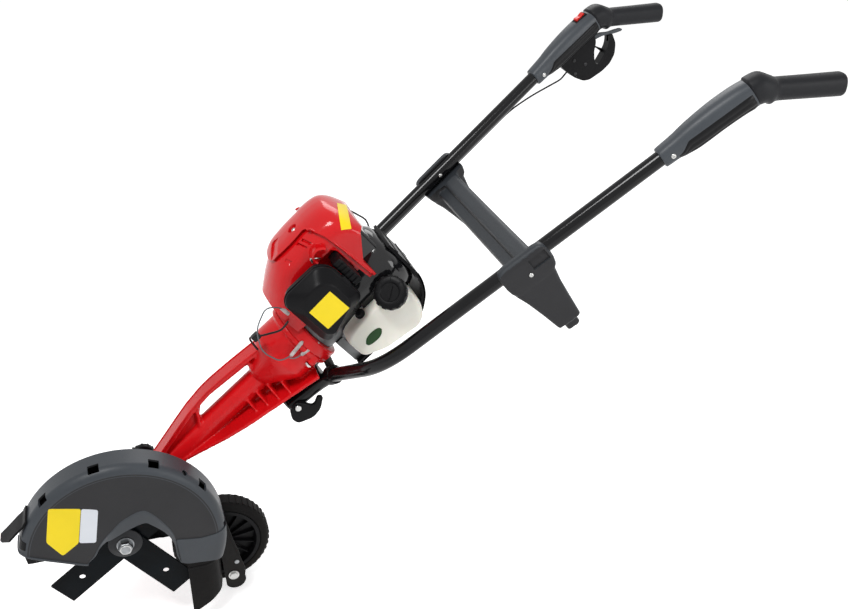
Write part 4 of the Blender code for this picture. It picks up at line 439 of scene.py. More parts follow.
def grow(name, kind, values, place=None, base=None, edge=0.0):
    """Runs a tree on a holder, keeps the result as plain mesh and puts it in its place."""
    mesh = base or bpy.data.meshes.new(name)
    ob = bpy.data.objects.new(name, mesh)
    bpy.context.scene.collection.objects.link(ob)
    mod = ob.modifiers.new("grow", "NODES")
    mod.node_group = MADE[kind]
    for item in MADE[kind].interface.items_tree:
        if item.in_out == "INPUT" and item.name in values:
            mod[item.identifier] = values[item.name]
    settle(ob)
    if place is not None:
        ob.data.transform(place)
    if edge:
        soften(ob, edge, 2)
    return ob


def repeat(name, kind, count, spread, size, material, place, edge=0.0, body="frame"):
    """Equal blocks in a row, with the spread as their step, or in a ring of that radius."""
    values = {"Count": count, "Step": spread, "Radius": spread, "Size": size,
              "Material": MADE[material]}
    ob = grow(name, kind, values, place, edge=edge)
    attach(ob, body)
    return ob


def fixings(name, kind, spots, material, size=1.0, body="frame"):
    """Screws, bolts or rivets at (point, direction) spots, as one piece on one body."""
    mesh = bpy.data.meshes.new(name + "_spots")
    mesh.from_pydata([tuple(p) for p, _ in spots], [], [])
    aim = mesh.attributes.new("aim", "FLOAT_VECTOR", "POINT")
    for i, (_, d) in enumerate(spots):
        aim.data[i].vector = Vector(d).normalized()
    pattern = FIXING_SHAPES[kind](size)
    ob = grow(name, "scatter", {"Fixing": pattern, "Material": MADE[material]}, base=mesh)
    drop(pattern)
    smooth(ob, 35.0)
    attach(ob, body)


def pan_screw(size):
    """A pan head with a cross recess."""
    r, h = 0.0042 * size, 0.0026 * size
    head = lathe("pan_screw", [(0.0, h), (r * 0.5, h * 0.97), (r * 0.8, h * 0.75), (r, h * 0.25),
                               (r, -h * 0.4), (0.0, -h * 0.4)], Matrix(), 24, "Z")
    arms = [block(f"recess_{i}", (-r * 0.55, -r * 0.11, h * 0.45), (r * 0.55, r * 0.11, h * 1.4),
                  Matrix.Rotation(i * pi / 2 + 0.4, 4, "Z")) for i in range(2)]
    return carve(head, *arms)


def hex_bolt(size):
    """A hexagon head with a chamfered top on a washer."""
    r, h = 0.0055 * size, 0.0038 * size
    washer = lathe("washer", [(0.0, 0.0009 * size), (r * 1.35, 0.0009 * size),
                              (r * 1.35, -0.001 * size), (0.0, -0.001 * size)], Matrix(), 28, "Z")
    head = lathe("hex_head", [(0.0, h), (r * 0.78, h), (r, h * 0.82), (r, 0.0), (0.0, 0.0)],
                 Matrix(), 6, "Z")
    return merge("hex_bolt", [washer, head])


def rivet(size):
    r, h = 0.0035 * size, 0.0018 * size
    return lathe("rivet", [(0.0, h), (r * 0.45, h * 0.9), (r * 0.85, h * 0.55), (r, 0.0),
                           (r, -h * 0.5), (0.0, -h * 0.5)], Matrix(), 20, "Z")


FIXING_SHAPES = {"pan": pan_screw, "hex": hex_bolt, "rivet": rivet}


# Finishes
def noise(tree, where, scale, detail):
    return add(tree, "ShaderNodeTexNoise", Vector=where, Scale=scale, Detail=detail).outputs["Fac"]


def finish(name, colour, rough, metallic=0.0, vary=0.12, vary_scale=14.0, grain=0.0,
           grain_scale=600.0, specular=0.5, dirt=0.0, clear=0.0):
    """A surface with slow colour drift, uneven gloss, fine grain and some dust low down."""
    MADE[name] = mat = bpy.data.materials.new(name)
    mat.use_nodes = True
    tree = mat.node_tree
    where = add(tree, "ShaderNodeTexCoord").outputs["Object"]
    slow = noise(tree, where, vary_scale, 6.0)
    ramp = add(tree, "ShaderNodeValToRGB", Fac=slow)
    for stop, position, share in zip(ramp.color_ramp.elements, (0.35, 0.65), (1 - vary, 1 + vary)):
        stop.position = position
        stop.color = (*[min(c * share, 1.0) for c in colour], 1.0)
    paint = ramp.outputs["Color"]
    if dirt:
        paint = dust_over(tree, where, paint, dirt)
    gloss = add(tree, "ShaderNodeMapRange", Value=slow, To_Min=rough * 0.85,
                To_Max=min(rough * 1.25, 1.0))
    shader = feed(tree, tree.nodes["Principled BSDF"], Base_Color=paint, Metallic=metallic,
                  Roughness=gloss.outputs["Result"], Specular_IOR_Level=specular)
    if clear:
        feed(tree, shader, Subsurface_Weight=clear, Subsurface_Scale=0.01)
    if grain:
        bump = add(tree, "ShaderNodeBump", Height=noise(tree, where, grain_scale, 3.0),
                   Strength=min(grain, 1.0), Distance=0.0004)
        feed(tree, shader, Normal=bump.outputs["Normal"])


def dust_over(tree, where, paint, amount):
    """Dry soil dust that thins out with height."""
    height = add(tree, "ShaderNodeSeparateXYZ", where).outputs["Z"]
    low = add(tree, "ShaderNodeMapRange", Value=height, From_Min=0.22, From_Max=0.0, To_Max=amount)
    share = add(tree, "ShaderNodeMath", low.outputs["Result"], noise(tree, where, 60.0, 8.0))
    share.operation = "MULTIPLY"
    return add(tree, "ShaderNodeMixRGB", Fac=share.outputs[0], Color1=paint,
               Color2=(0.2, 0.17, 0.13, 1.0)).outputs["Color"]


def make_finishes(paint):
    """All the machine's surfaces, by the words its maker would use."""
    red, grey, black = tuple(paint.red), tuple(paint.grey), tuple(paint.black)
    finish("red_cover", red, 0.14, vary=0.05, grain=0.05, grain_scale=150.0, specular=0.3)
    finish("red_casting", red, 0.26, vary=0.08, grain=0.2, grain_scale=420.0, specular=0.25,
           dirt=0.2)
    finish("grey_moulding", grey, 0.36, vary=0.06, grain=0.3, grain_scale=900.0, specular=0.3)
    # Painted shade: the console is the shells' grey plastic, darkened for the less light that
    # falls on it.
    finish("shaded_console_grey", [c * 0.62 for c in grey], 0.42, vary=0.08, grain=0.35,
           grain_scale=900.0, specular=0.25)
    # Painted shade: a darker copy of the grey plastic, for the guard's flat face and the console's
    # side faces, where less light falls.
    finish("painted_shade_grey", tuple(paint.guard), 0.45, vary=0.08, grain=0.4, grain_scale=800.0,
           specular=0.16, dirt=0.1)
    finish("guard_shoulder", [c * 0.86 for c in grey], 0.38, vary=0.08, grain=0.35,
           grain_scale=800.0, specular=0.25, dirt=0.1)
    finish("black_moulding", [c * 0.7 for c in black], 0.34, vary=0.15, grain=0.3,
           grain_scale=900.0, specular=0.1)
    finish("black_gloss", black, 0.1, vary=0.15, grain=0.05, grain_scale=200.0, specular=0.45)
    finish("tube_paint", [c * 0.7 for c in black], 0.13, vary=0.2, grain=0.06, grain_scale=260.0,
           specular=0.22)
    finish("bracket_paint", [c * 0.7 for c in black], 0.36, grain=0.4, grain_scale=500.0,
           specular=0.1, dirt=0.08)
    finish("dark_inset", [c * 0.8 for c in black], 0.3, grain=0.3, specular=0.16)
    finish("grip_rubber", (0.0095, 0.01, 0.012), 0.42, grain=0.6, grain_scale=1400.0,
           specular=0.18)
    finish("flap_rubber", (0.004, 0.004, 0.0045), 0.45, vary=0.2, grain=0.5, grain_scale=500.0,
           specular=0.07, dirt=0.05)
    finish("tyre_rubber", (0.004, 0.004, 0.0045), 0.55, vary=0.2, grain=0.7, grain_scale=420.0,
           specular=0.06, dirt=0.08)
    finish("blade_steel", (0.002, 0.0035, 0.005), 0.34, vary=0.35, vary_scale=26.0, grain=0.25,
           grain_scale=300.0, specular=0.06, dirt=0.03)
    finish("bright_steel", (0.52, 0.52, 0.51), 0.28, 1.0, vary=0.15, vary_scale=60.0, grain=0.2,
           grain_scale=700.0)
    finish("nut_steel", (0.26, 0.27, 0.28), 0.34, 1.0, vary=0.2, vary_scale=80.0, grain=0.3,
           grain_scale=700.0)
    finish("cast_alloy", (0.13, 0.133, 0.135), 0.44, 0.8, vary=0.25, vary_scale=40.0, grain=0.6,
           grain_scale=500.0)
    finish("dark_alloy", (0.03, 0.03, 0.032), 0.45, 0.5, vary=0.2, grain=0.4)
    finish("tank_plastic", tuple(paint.tank), 0.28, vary=0.04, vary_scale=30.0, grain=0.1,
           grain_scale=500.0, specular=0.4, clear=0.1)
    finish("dark_flange", (0.01, 0.011, 0.013), 0.3, 0.3, vary=0.25, vary_scale=50.0, grain=0.3,
           specular=0.3)
    finish("label_yellow", tuple(paint.label), 0.3, vary=0.04, specular=0.2)
    finish("label_white", (0.74, 0.77, 0.82), 0.3, vary=0.04, specular=0.2)
    finish("label_green", (0.018, 0.065, 0.016), 0.3, vary=0.2, specular=0.2)
    finish("switch_red", (0.7, 0.02, 0.012), 0.25, vary=0.05, specular=0.3)
    finish("porcelain", (0.85, 0.85, 0.82), 0.2, vary=0.03)
    finish("foam", (0.28, 0.28, 0.26), 0.9, vary=0.2, grain=1.0, grain_scale=900.0)
    finish("wire_grey", (0.1, 0.12, 0.13), 0.45, vary=0.15, specular=0.3)
    finish("wire_end", (0.42, 0.38, 0.37), 0.5, vary=0.3, vary_scale=120.0)
    finish("cable_black", (0.006, 0.006, 0.007), 0.3, vary=0.1, specular=0.2)
    finish("exhaust", (0.1, 0.095, 0.09), 0.5, 0.7, vary=0.35, vary_scale=50.0, grain=0.4)


# The handle's own line, from the hub
def half_at(along):
    return NEAR_HUB + SPREAD * (along - 0.9)


def tube_at(along, side):
    c, n = cos(HANDLE_TILT), sin(HANDLE_TILT)
    return Vector((along * c - HANDLE_RISE * n, side * half_at(along),
                   along * n + HANDLE_RISE * c))


def tube_axes(side):
    along = (tube_at(1.0, side) - tube_at(0.0, side)).normalized()
    across = Vector((0.0, 0.0, 1.0)).cross(along).normalized()
    return along, across, along.cross(across).normalized()


def drive_point(s, t, y=0.0):
    """A point of the drive frame, seen from the hub."""
    c, n = cos(radians(40.0)), sin(radians(40.0))
    return Vector((s * c - t * n, y, s * n + t * c))


def tube_route(side, steps=8):
    knuckle = tube_at(KNUCKLE_AT, side)
    end = Vector((1.005, side * GRIP_Y, knuckle.z))
    return rounded([drive_point(0.3, -0.064, side * 0.03), drive_point(0.376, -0.07, side * 0.03),
                    tube_at(0.47, side), knuckle, end], 0.05, steps, closed=False)


def drive_frame(s, y, t, *turns):
    place = DRIVE @ shift(s, y, t)
    for angle, axis in turns:
        place = place @ turned(angle, axis)
    return place


def switch_frame():
    """Where the stop switch sits on the right handle shell."""
    along, across, up = tube_axes(1)
    turn = Matrix((along, across, up)).transposed().to_4x4()
    return HUB @ Matrix.Translation(tube_at(SWITCH_AT, 1) + up * 0.0207) @ turn


def between(rings, steps):
    """More sections between the given ones, on smooth lines through their points."""
    tracks = [spline(track, steps) for track in zip(*rings)]
    return [[Vector(p) for p in ring] for ring in zip(*tracks)]


def oval(centre, across, up, wide, high, low, sides=40, square=2.6):
    ring = []
    for k in range(sides):
        c, s = cos(2 * pi * k / sides), sin(2 * pi * k / sides)
        reach = (abs(c) ** square + abs(s) ** square) ** (-1 / square)
        ring.append(centre + across * (wide * reach * c)
                    + up * ((high if s > 0 else low) * reach * s))
    return ring


def patch(name, target, corners, aim, place, outline=None, steps=14):
    """A thin film laid on a surface: a grid between four corners, pressed on along an aim."""
    tree = BVHTree.FromObject(target, bpy.context.evaluated_depsgraph_get())
    a, b, c, d = [place @ Vector(p) for p in corners]
    towards = (place.to_3x3() @ Vector(aim)).normalized()
    bm = bmesh.new()
    grid = []
    for i in range(steps + 1):
        row = []
        for j in range(steps + 1):
            u, v = i / steps, j / steps
            if outline:
                u, v = outline(u, v)
            p = a.lerp(b, u).lerp(d.lerp(c, u), v)
            hit, normal, _, _ = tree.ray_cast(p - towards * 0.05, towards)
            row.append(bm.verts.new(hit + normal * FILM if hit else p))
        grid.append(row)
    for i in range(steps):
        for j in range(steps):
            bm.faces.new((grid[i][j], grid[i + 1][j], grid[i + 1][j + 1], grid[i][j + 1]))
    bmesh.ops.remove_doubles(bm, verts=bm.verts, dist=1e-6)
    bmesh.ops.recalc_face_normals(bm, faces=bm.faces)
    if bm.faces[:][0].normal.dot(towards) > 0:
        bmesh.ops.reverse_faces(bm, faces=bm.faces)
    ob = new_object(name, bm, recalc=False)
    mod = ob.modifiers.new("film", "SOLIDIFY")
    mod.thickness = FILM
    mod.offset = 0.0
    return smooth(settle(ob), 60.0)


def paint_shade_on_faces(ob, material, test):
    """Faces that pass the test take a second material: the darker copy that paints their shade."""
    ob.data.materials.append(MADE[material])
    for face in ob.data.polygons:
        if test(face):
            face.material_index = 1


# Settings that a user may change
def colour(name, text, default):
    return FloatVectorProperty(name=name, description=text, default=default, subtype="COLOR",
                               min=0, max=1)


class EdgerPaint(bpy.types.PropertyGroup):
    red: colour("Red", "Colour of the cover and the castings", (0.62, 0.005, 0.008))
    grey: colour("Grey", "Colour of the handle shells", (0.05, 0.057, 0.066))
    # The guard face colour is painted shade: the guard's own plastic, darker on the flat face that
    # gets less light.
    guard: colour("Guard face", "Colour of the guard's flat face", (0.028, 0.028, 0.03))
    black: colour("Black", "Colour of the black mouldings", (0.007, 0.007, 0.008))
    tank: colour("Tank", "Colour of the fuel tank's plastic", (0.92, 0.9, 0.81))
    label: colour("Plates", "Colour of the bare plates", (0.92, 0.7, 0.02))


class EdgerSizes(bpy.types.PropertyGroup):
    cap_ribs: IntProperty(name="Cap ribs", description="Finger ribs round the fuel cap",
                          default=14, min=6, max=40)
    tread_lugs: IntProperty(name="Tread lugs", description="Lugs round the tyre", default=44,
                            min=12, max=90)
    fins: IntProperty(name="Cylinder fins", description="Cooling fins on the cylinder", default=8,
                      min=4, max=14)
    cable: FloatProperty(name="Cable", description="Thickness of the throttle cable",
                         default=0.003, min=0.002, max=0.006, subtype="DISTANCE", unit="LENGTH")
    floor: FloatProperty(name="Floor", description="Reach of the pale floor", default=16.0,
                         min=4.0, max=40.0, subtype="DISTANCE", unit="LENGTH")


class EDGER_OT_camera(bpy.types.Operator):
    """Sets the camera where the machine is seen from its blade side"""
    bl_idname = "edger.camera"
    bl_label = "Camera"

    def execute(self, context):
        camera = bpy.data.objects.new("camera", bpy.data.cameras.new("camera"))
        camera.data.lens = 42.45
        camera.data.sensor_width = 36.0
        camera.location = HUB @ CAMERA
        camera.rotation_euler = (radians(62.3), 0.0, radians(-17.8))
        context.scene.collection.objects.link(camera)
        context.scene.camera = camera
        return {"FINISHED"}


class EDGER_OT_cables(bpy.types.Operator):
    """Runs the throttle cable, the ignition wire, the fuel line and the starter rope"""
    bl_idname = "edger.cables"
    bl_label = "Cables and hoses"

    def execute(self, context):
        radius = context.scene.edger_sizes.cable / 2
        _, across, up = tube_axes(1)

        def under(at):
            return tube_at(at, 1) - up * UNDER_TUBE

        start = Vector((0.8335, 0.2297, 0.5585))
        route = [start, start - Vector((0.01, 0.0, 0.012)), under(0.925) - up * 0.01, under(0.88),
                 under(0.8), under(0.7), under(0.5853)]
        self.cord("throttle_cable", route, 0.02, 4, radius, HUB, "handlebar", "taut")

        away = Matrix.Rotation(radians(40.0), 3, "Y")
        begin = away @ under(0.585)
        route = [begin, away @ under(0.565), away @ (under(0.551) - across * 0.022),
                 *mm("580 112 10, 566 86 84, 566 50 84, 540 46 100, 500 -10 114, 478 -46 114, "
                     "470 -50 104, 470 -50 86.3")]
        self.cord("throttle_cable_lower", route, 0.009, 2, radius, DRIVE, None, "loose")

        rest, turn = 0.0533, radians(14.0)
        end = (-rest * cos(turn), rest * sin(turn))
        route = [*mm("417.5 -61.5 73, 417.5 -63 88, 404 -66 106, 370 -66 91, 349 -64 57, "
                     "354 -60 24"), (0.3655, *end), (0.384, *end)]
        self.cord("wire_loop", route, 0.014, 4, 0.001, DRIVE, "frame", "loose")

        route = mm("489 -62 -8.5, 487 -66 8, 476 -70 24, 466 -66 40, 466 -66 45.7")
        self.cord("fuel_line", route, 0.012, 4, 0.0025, DRIVE, "frame", "loose")

        grommet = lathe("fuel_line_grommet",
                        mm("0 6.5, 4.2 6.5, 5.2 5.5, 5.6 1.5, 7.5 0.8, 7.8 -0.8, 6 -2, 0 -2"),
                        drive_frame(0.4885, -0.0655, -0.0075, (38, "X")), 40, "Z")
        dress(smooth(grommet), "black_moulding", slot="rubber")

        sleeves = []
        for a, b in (mm("369 -53.5 13.5, 399 -56 19"), mm("380 -54 3, 413 -53 -3")):
            line = spline([a, tuple((p + q) / 2 for p, q in zip(a, b)), b], 6)
            sleeves.append(sweep("sleeve", line, [0.0012] + [0.0029] * (len(line) - 3)
                                 + [0.0024, 0.0012], DRIVE, 16))
        sleeves.append(sweep("sleeve", mm("417.5 -61.5 71, 417.5 -62.2 80, 416 -63 87"),
                             [0.003, 0.0032, 0.0012], DRIVE, 16))
        dress(smooth(merge("wire_sleeves", sleeves)), "wire_end")
        lead = sweep("wire_branch", spline(mm("365.5 -53 12, 372 -54.8 6, 381.5 -54 3"), 6), 0.001,
                     DRIVE, 12)
        dress(smooth(lead), "wire_grey")

        lead = sweep("kill_lead", spline(mm("408 -56 60, 392 -60 60, 374 -54 66, 356 -42 70, "
                                            "344 -30 69, 336 -20 42"), 8), 0.0016, DRIVE, 12)
        clip = block("clip", *mm("349 -46 65, 361 -35 75"), DRIVE)
        dress(merge("lead_and_clip", [smooth(lead), soften(clip, 0.0015, 2)]), "cable_black")

        root, aim = Vector((0.5535, 0, 0)), Vector((0, cos(radians(30.0)), sin(radians(30.0))))
        rope = sweep("starter_rope", [root + aim * lerp(0.026, 0.0595, k / 24)
                                      for k in range(25)], 0.0022, DRIVE, 12)
        smooth(rope)
        rope.data.materials.append(MADE["cable_black"])
        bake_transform(rope)
        return {"FINISHED"}

    def cord(self, name, route, corner, steps, radius, place, body, lay):
        points = rounded(route, corner, steps, closed=False)
        ob = sweep(name, points, radius, place, 14)
        smooth(ob, 50.0)
        material = "wire_grey" if name == "wire_loop" else "cable_black"
        ob.data.materials.append(MADE[material])
        if body:
            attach(ob, body)
        else:
            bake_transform(ob)
        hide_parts(name)


def seen_by(tree, *rays):
    """A socket with 1 for the named kinds of ray and 0 for all others."""
    path = add(tree, "ShaderNodeLightPath")
    out = path.outputs[rays[0]]
    for ray in rays[1:]:
        most = add(tree, "ShaderNodeMath", out, path.outputs[ray])
        most.operation = "MAXIMUM"
        out = most.outputs[0]
    return out


class EDGER_OT_stage(bpy.types.Operator):
    """Sets the pale floor and the soft studio light"""
    bl_idname = "edger.stage"
    bl_label = "Floor and light"

    def execute(self, context):
        reach = context.scene.edger_sizes.floor
        bm = bmesh.new()
        bmesh.ops.create_grid(bm, x_segments=4, y_segments=4, size=reach)
        floor = new_object("floor", bm, shift(0, 0, -0.0005), recalc=False)
        mat = bpy.data.materials.new("pale_floor")
        mat.use_nodes = True
        tree = mat.node_tree
        level = add(tree, "ShaderNodeMath", seen_by(tree, "Is Camera Ray", "Is Glossy Ray"), 0.62)
        level.operation = "MULTIPLY"
        feed(tree, tree.nodes["Principled BSDF"], Base_Color=(0.9, 0.9, 0.9, 1), Roughness=0.9,
             Specular_IOR_Level=0.1, Emission_Color=(1, 1, 1, 1),
             Emission_Strength=level.outputs[0])
        floor.data.materials.append(mat)

        world = bpy.data.worlds.new("studio")
        world.use_nodes = True
        context.scene.world = world
        tree = world.node_tree
        rays = seen_by(tree, "Is Camera Ray", "Is Glossy Ray", "Is Transmission Ray")
        span = add(tree, "ShaderNodeMapRange", Value=rays, To_Min=0.4, To_Max=1.0)
        feed(tree, tree.nodes["Background"], Color=(1, 1, 1, 1), Strength=span.outputs["Result"])
        for name, at, power, size in (("key", (-1.2, -1.0, 3.0), 50.0, 0.8),
                                      ("fill", (1.9, -2.5, 1.3), 32.0, 1.4),
                                      ("back", (0.8, 2.2, 2.2), 16.0, 1.2)):
            lamp = bpy.data.objects.new(name, bpy.data.lights.new(name, "AREA"))
            lamp.data.energy = power
            lamp.data.size = size
            lamp.location = at
            aim = Vector((0, 0, 0.35)) - Vector(at)
            lamp.rotation_euler = aim.to_track_quat("-Z", "Y").to_euler()
            context.scene.collection.objects.link(lamp)
        context.scene.view_settings.view_transform = "Standard"
        return {"FINISHED"}


class EDGER_OT_guard(bpy.types.Operator):
    """Moulds the blade guard with its rounded shoulder, slots, lip and plates"""
    bl_idname = "edger.guard"
    bl_label = "Blade guard"

    def execute(self, context):
        outer = mm("-56 -10.5, -45 2, -34 20.1, -23.8 32.4, -14.2 41.1, 1.8 55.5, 28.6 66.5, "
                   "45 57, 66.4 23.9, 72.6 1.2, 74 -30, 77.5 -44")
        inner = mm("-55.6 -12.5, -43.3 -2.5, -35.2 10.6, -25.5 19.4, -16.7 21.9, 7.6 33.3, "
                   "31.3 40.3, 42 33.8, 59.9 13.9, 69.1 -7.8, 70.8 -31.7, 75.1 -46.7")
        notch = spline(outer, 4)
        mouth = (mm("-300 30, -147 30, -61 -11") + notch
                 + mm("84 -46, 145 -52, 300 -52, 300 -300, -300 -300"))
        shell = lathe("guard_shell", self.profile(0.148, 0.0), HUB, 160)
        carve(shell, prism("mouth", mouth, -0.16, -0.03, HUB))
        slots = []
        for i in range(1, 6):
            a = radians(165.4 - 32.8 * i)
            at = HUB @ shift(0.1492 * cos(a), -0.1066, 0.1492 * sin(a))
            slots.append(block(f"slot_{i}", *mm("-8.5 -5.6 -8, 6 11 8"),
                               at @ Matrix.Rotation(-a, 4, "Y")))
        a = radians(48.0)
        well = Vector((0.147 * cos(a), -0.104, 0.147 * sin(a)))
        out = Vector((0.8 * cos(a), -0.6, 0.8 * sin(a)))
        place = HUB @ Matrix.Translation(well) @ facing(out)
        slots.append(lathe("screw_well", mm("0 12, 5.2 12, 4.4 -6, 0 -6"), place, 32, "Z"))
        carve(shell, *slots)
        # Painted shade: the first slot is not cut; a black film on the shoulder stands for its
        # dark opening.
        plug = lathe("guard_slot_plug", self.profile(0.1483, 0.0004), HUB, 160)
        carve(plug, prism("plug_region", mm("-138.9 51.5, -130.7 48.1, -133.9 35.2, -142.8 36.9"),
                          -0.16, -0.1, HUB), operation="INTERSECT")
        dress(plug, "black_moulding")
        soften(shell, 0.0007, 2, 30)
        dress(shell, "guard_shoulder", "blade_guard")
        # Painted shade: faces turned straight out take the darker copy of the guard's plastic.
        paint_shade_on_faces(shell, "painted_shade_grey", lambda f: f.normal.y < -0.985)

        a_line, b_line = spline(outer, 5), spline(inner, 5)
        rings = []
        for (ox, oz), (ix, iz) in zip(a_line, b_line):
            mx, mz = lerp(ox, ix, 0.14), lerp(oz, iz, 0.14)
            rings.append([(ox, -0.1182, oz), (mx, -0.1186, mz), (ix, -0.1142, iz),
                          (ix, -0.1112, iz), (ox, -0.115, oz)])
        lip = loft("guard_lip", rings, HUB)
        dress(soften(lip, 0.0006, 2, 30), "guard_shoulder")

        pad = lathe("guard_leg_pad", self.profile(0.1492, 0.0012), HUB, 160)
        region = mm("72.8 2.2, 90 -1.2, 110 -4.2, 130 -2, 170 10, 170 -53.5, 145 -53.5, 86 -47.8, "
                    "76.5 -44")
        carve(pad, prism("pad_region", rounded(region, 0.004, 4), -0.16, -0.03, HUB),
              operation="INTERSECT")
        dress(soften(pad, 0.0012, 3, 30), "guard_shoulder")

        roll = spline(mm("-144.7 -74.5 31, -144.7 -95 30.8, -143.6 -108 30.3, -139.5 -114.5 27.7, "
                         "-127.7 -118 20.5, -92.1 -118.2 4, -60 -118 -10.6, -55.6 -116.5 -11.8"),
                      6)
        dress(smooth(sweep("guard_foot_roll", roll, 0.0016, HUB, 16)), "guard_shoulder")

        plates = {"yellow": mm("-92.5 101, -50 90.5, -62 31, -86.5 13.5, -104.5 43"),
                  "white": mm("-49.4 90.3, -27.5 83, -38.5 25.5, -61.4 30.8")}
        for tone, outline in plates.items():
            film = prism("guard_plate_" + tone, rounded(outline, 0.004, 5), -0.1182, -0.1177, HUB)
            dress(soften(film, 0.00015, 1), "label_" + tone, slot="grey_plastic")

        disc = lathe("guard_back",
                     mm("12 -71, 144.5 -71, 144.5 -73.5, 138 -74, 60 -74, 55 -72.5, 12 -72.5"),
                     HUB, 120)
        carve(disc, block("foot", *mm("-300 -300 -300, 300 300 -26"), HUB))
        dress(soften(disc, 0.0008, 2), "black_moulding", "guard_back_plate")
        fixings("guard_screws", "pan", [(HUB @ (well - out * 0.0058), out)], "dark_alloy", 0.8)
        return {"FINISHED"}

    def profile(self, radius, proud):
        """The guard's wall, shoulder and recessed face, as (radius, height)."""
        face = -0.118 - proud
        out = [(radius, -0.0712)]
        out += [(radius - 0.0145 + 0.0145 * cos(radians(k * 9)), -0.1035 - proud
                 - 0.0145 * sin(radians(k * 9))) for k in range(11)]
        if proud:
            return out + [(0.06, face), *mm("60 -116, 132 -116, 144 -104, 147 -71.2")]
        return out + [(0.1325, face + 0.0002), (0.0, face + 0.0002),
                      *mm("0 -115, 129 -115, 135.5 -113, 143 -106, 145 -100, 145 -71.2")]


class EDGER_OT_flaps(bpy.types.Operator):
    """Cuts the two rubber flaps and the bracket that holds the rear one"""
    bl_idname = "edger.flaps"
    bl_label = "Rubber flaps"

    def execute(self, context):
        path = arc((0, 0), 0.1498, 147, 151, 4) + mm("-140 65, -153 52.5, -167 40")
        flap = band("front_flap_sheet", spline(path, 3), 0.038, 0.003, HUB, centre=-0.093)
        carve(flap, prism("front_hem", mm("-300 -115, -150 -115, -172 -85, -300 -85"), -0.1, 0.2,
                          HUB, "XY"))
        dress(soften(flap, 0.0008, 2), "flap_rubber", "front_flap")

        face = -0.1132
        plan = rounded([(0.084, face), (0.114, face), (0.13, face + 0.009), (0.1335, -0.084)],
                       0.01, 8, closed=False)
        flap = band("rear_flap_sheet", plan, 0.135, 0.003, HUB, "XY", -0.1075)
        hem = mm("60 -154.5, 89 -152, 94 -147.5, 142 -118.5, 200 -98.5, 200 -300, 60 -300")
        carve(flap, prism("rear_hem", hem, -0.2, 0.0, HUB))
        ribs = band("rear_flap_rib", [(x, y - 0.0014) for x, y in plan[:18]], 0.004, 0.0016, HUB,
                    "XY", -0.062)
        dress(soften(flap, 0.0008, 2), "flap_rubber", "rear_flap")
        dress(soften(ribs, 0.0005, 2), "flap_rubber")

        outline = (mm("110 0, 118 12, 146 5, 156 -50, 174 -126")
                   + arc((0.156, -0.143), 0.017, 20, -150, 20) + [(0.136, -0.045)])
        bracket = prism("flap_bracket", rounded(outline, 0.006, 3), -0.0707, -0.0677, HUB)
        dress(soften(bracket, 0.0007, 2), "bracket_paint", "skirt_bracket")
        edge = sweep("flap_bracket_bead", mm("150 -70.5 -20, 158 -70.5 -60, 166 -70.5 -92"),
                     0.0014, HUB, 12)
        dress(smooth(edge), "bracket_paint")
        fixings("flap_rivet", "rivet", [(HUB @ Vector((0.161, -0.0707, -0.106)), (0, -1, 0))],
                "nut_steel", 1.2)
        fixings("flap_bolt", "hex", [(HUB @ Vector((0.154, -0.0707, -0.132)), (0, -1, 0))],
                "bright_steel", 1.15)
        return {"FINISHED"}


class EDGER_OT_blade(bpy.types.Operator):
    """Grinds the two crossed blade bars and fits their flange and nut"""
    bl_idname = "edger.blade"
    bl_label = "Blade"

    def execute(self, context):
        half, reach, thick = 0.023, 0.127, 0.0032
        for i in range(2):
            seat = -0.0923 - i * 0.0035
            turn = HUB @ turned(-36.9 + 90 * i, "Y")
            outline = rounded([(-reach, -half), (reach, -half), (reach, half), (-reach, half)],
                              0.0012, 2)
            bar = prism(f"blade_{i + 1}", outline, seat - thick, seat, turn)
            holes = [rod(f"hole_{k}", r, 0.01, -0.01, turn @ shift(at, seat, 0), 40)
                     for k, (at, r) in enumerate(mm("0 8.3, 86 4.5, -86 4.5"))]
            carve(bar, *holes)
            soften(bar, 0.0005, 2)
            dress(bar, "blade_steel", f"blade_bar_{i + 1}")
        stack = -0.0993
        flange = lathe("blade_flange", [(0.0083, stack), (0.0245, stack), (0.025, stack - 0.0006),
                                        (0.0248, stack - 0.0022), (0.0225, stack - 0.003),
                                        (0.018, stack - 0.0041), (0.0165, stack - 0.0047),
                                        (0.0083, stack - 0.0047)], HUB, 96)
        dress(smooth(flange, 30), "dark_flange", "outer_flange")
        top = stack - 0.005
        across = 0.019 / sqrt(3)
        nut = lathe("nut_body", [(0.0083, top), (across, top), (across, top - 0.01),
                                 (across * 0.9, top - 0.0115), (0.0083, top - 0.0115)], HUB, 6)
        washer = lathe("nut_washer", [(0.0083, top), (0.0128, top), (0.0128, top - 0.0013),
                                      (0.0083, top - 0.0013)], HUB, 64)
        nut = merge("blade_nut_finished", [nut, washer])
        dress(soften(nut, 0.0004, 2, 25), "nut_steel", "blade_nut")
        thread = [(0.0, top - 0.003), (0.0078, top - 0.003)]
        for k in range(9):
            h = top - 0.0035 - k * 0.001
            thread += [(0.008, h), (0.0074, h - 0.0005)]
        thread += [(0.0066, top - 0.0132), (0.0, top - 0.0132)]
        end = lathe("arbor_thread", thread, HUB, 48)
        dress(smooth(end, 30), "nut_steel", body="blade")
        return {"FINISHED"}


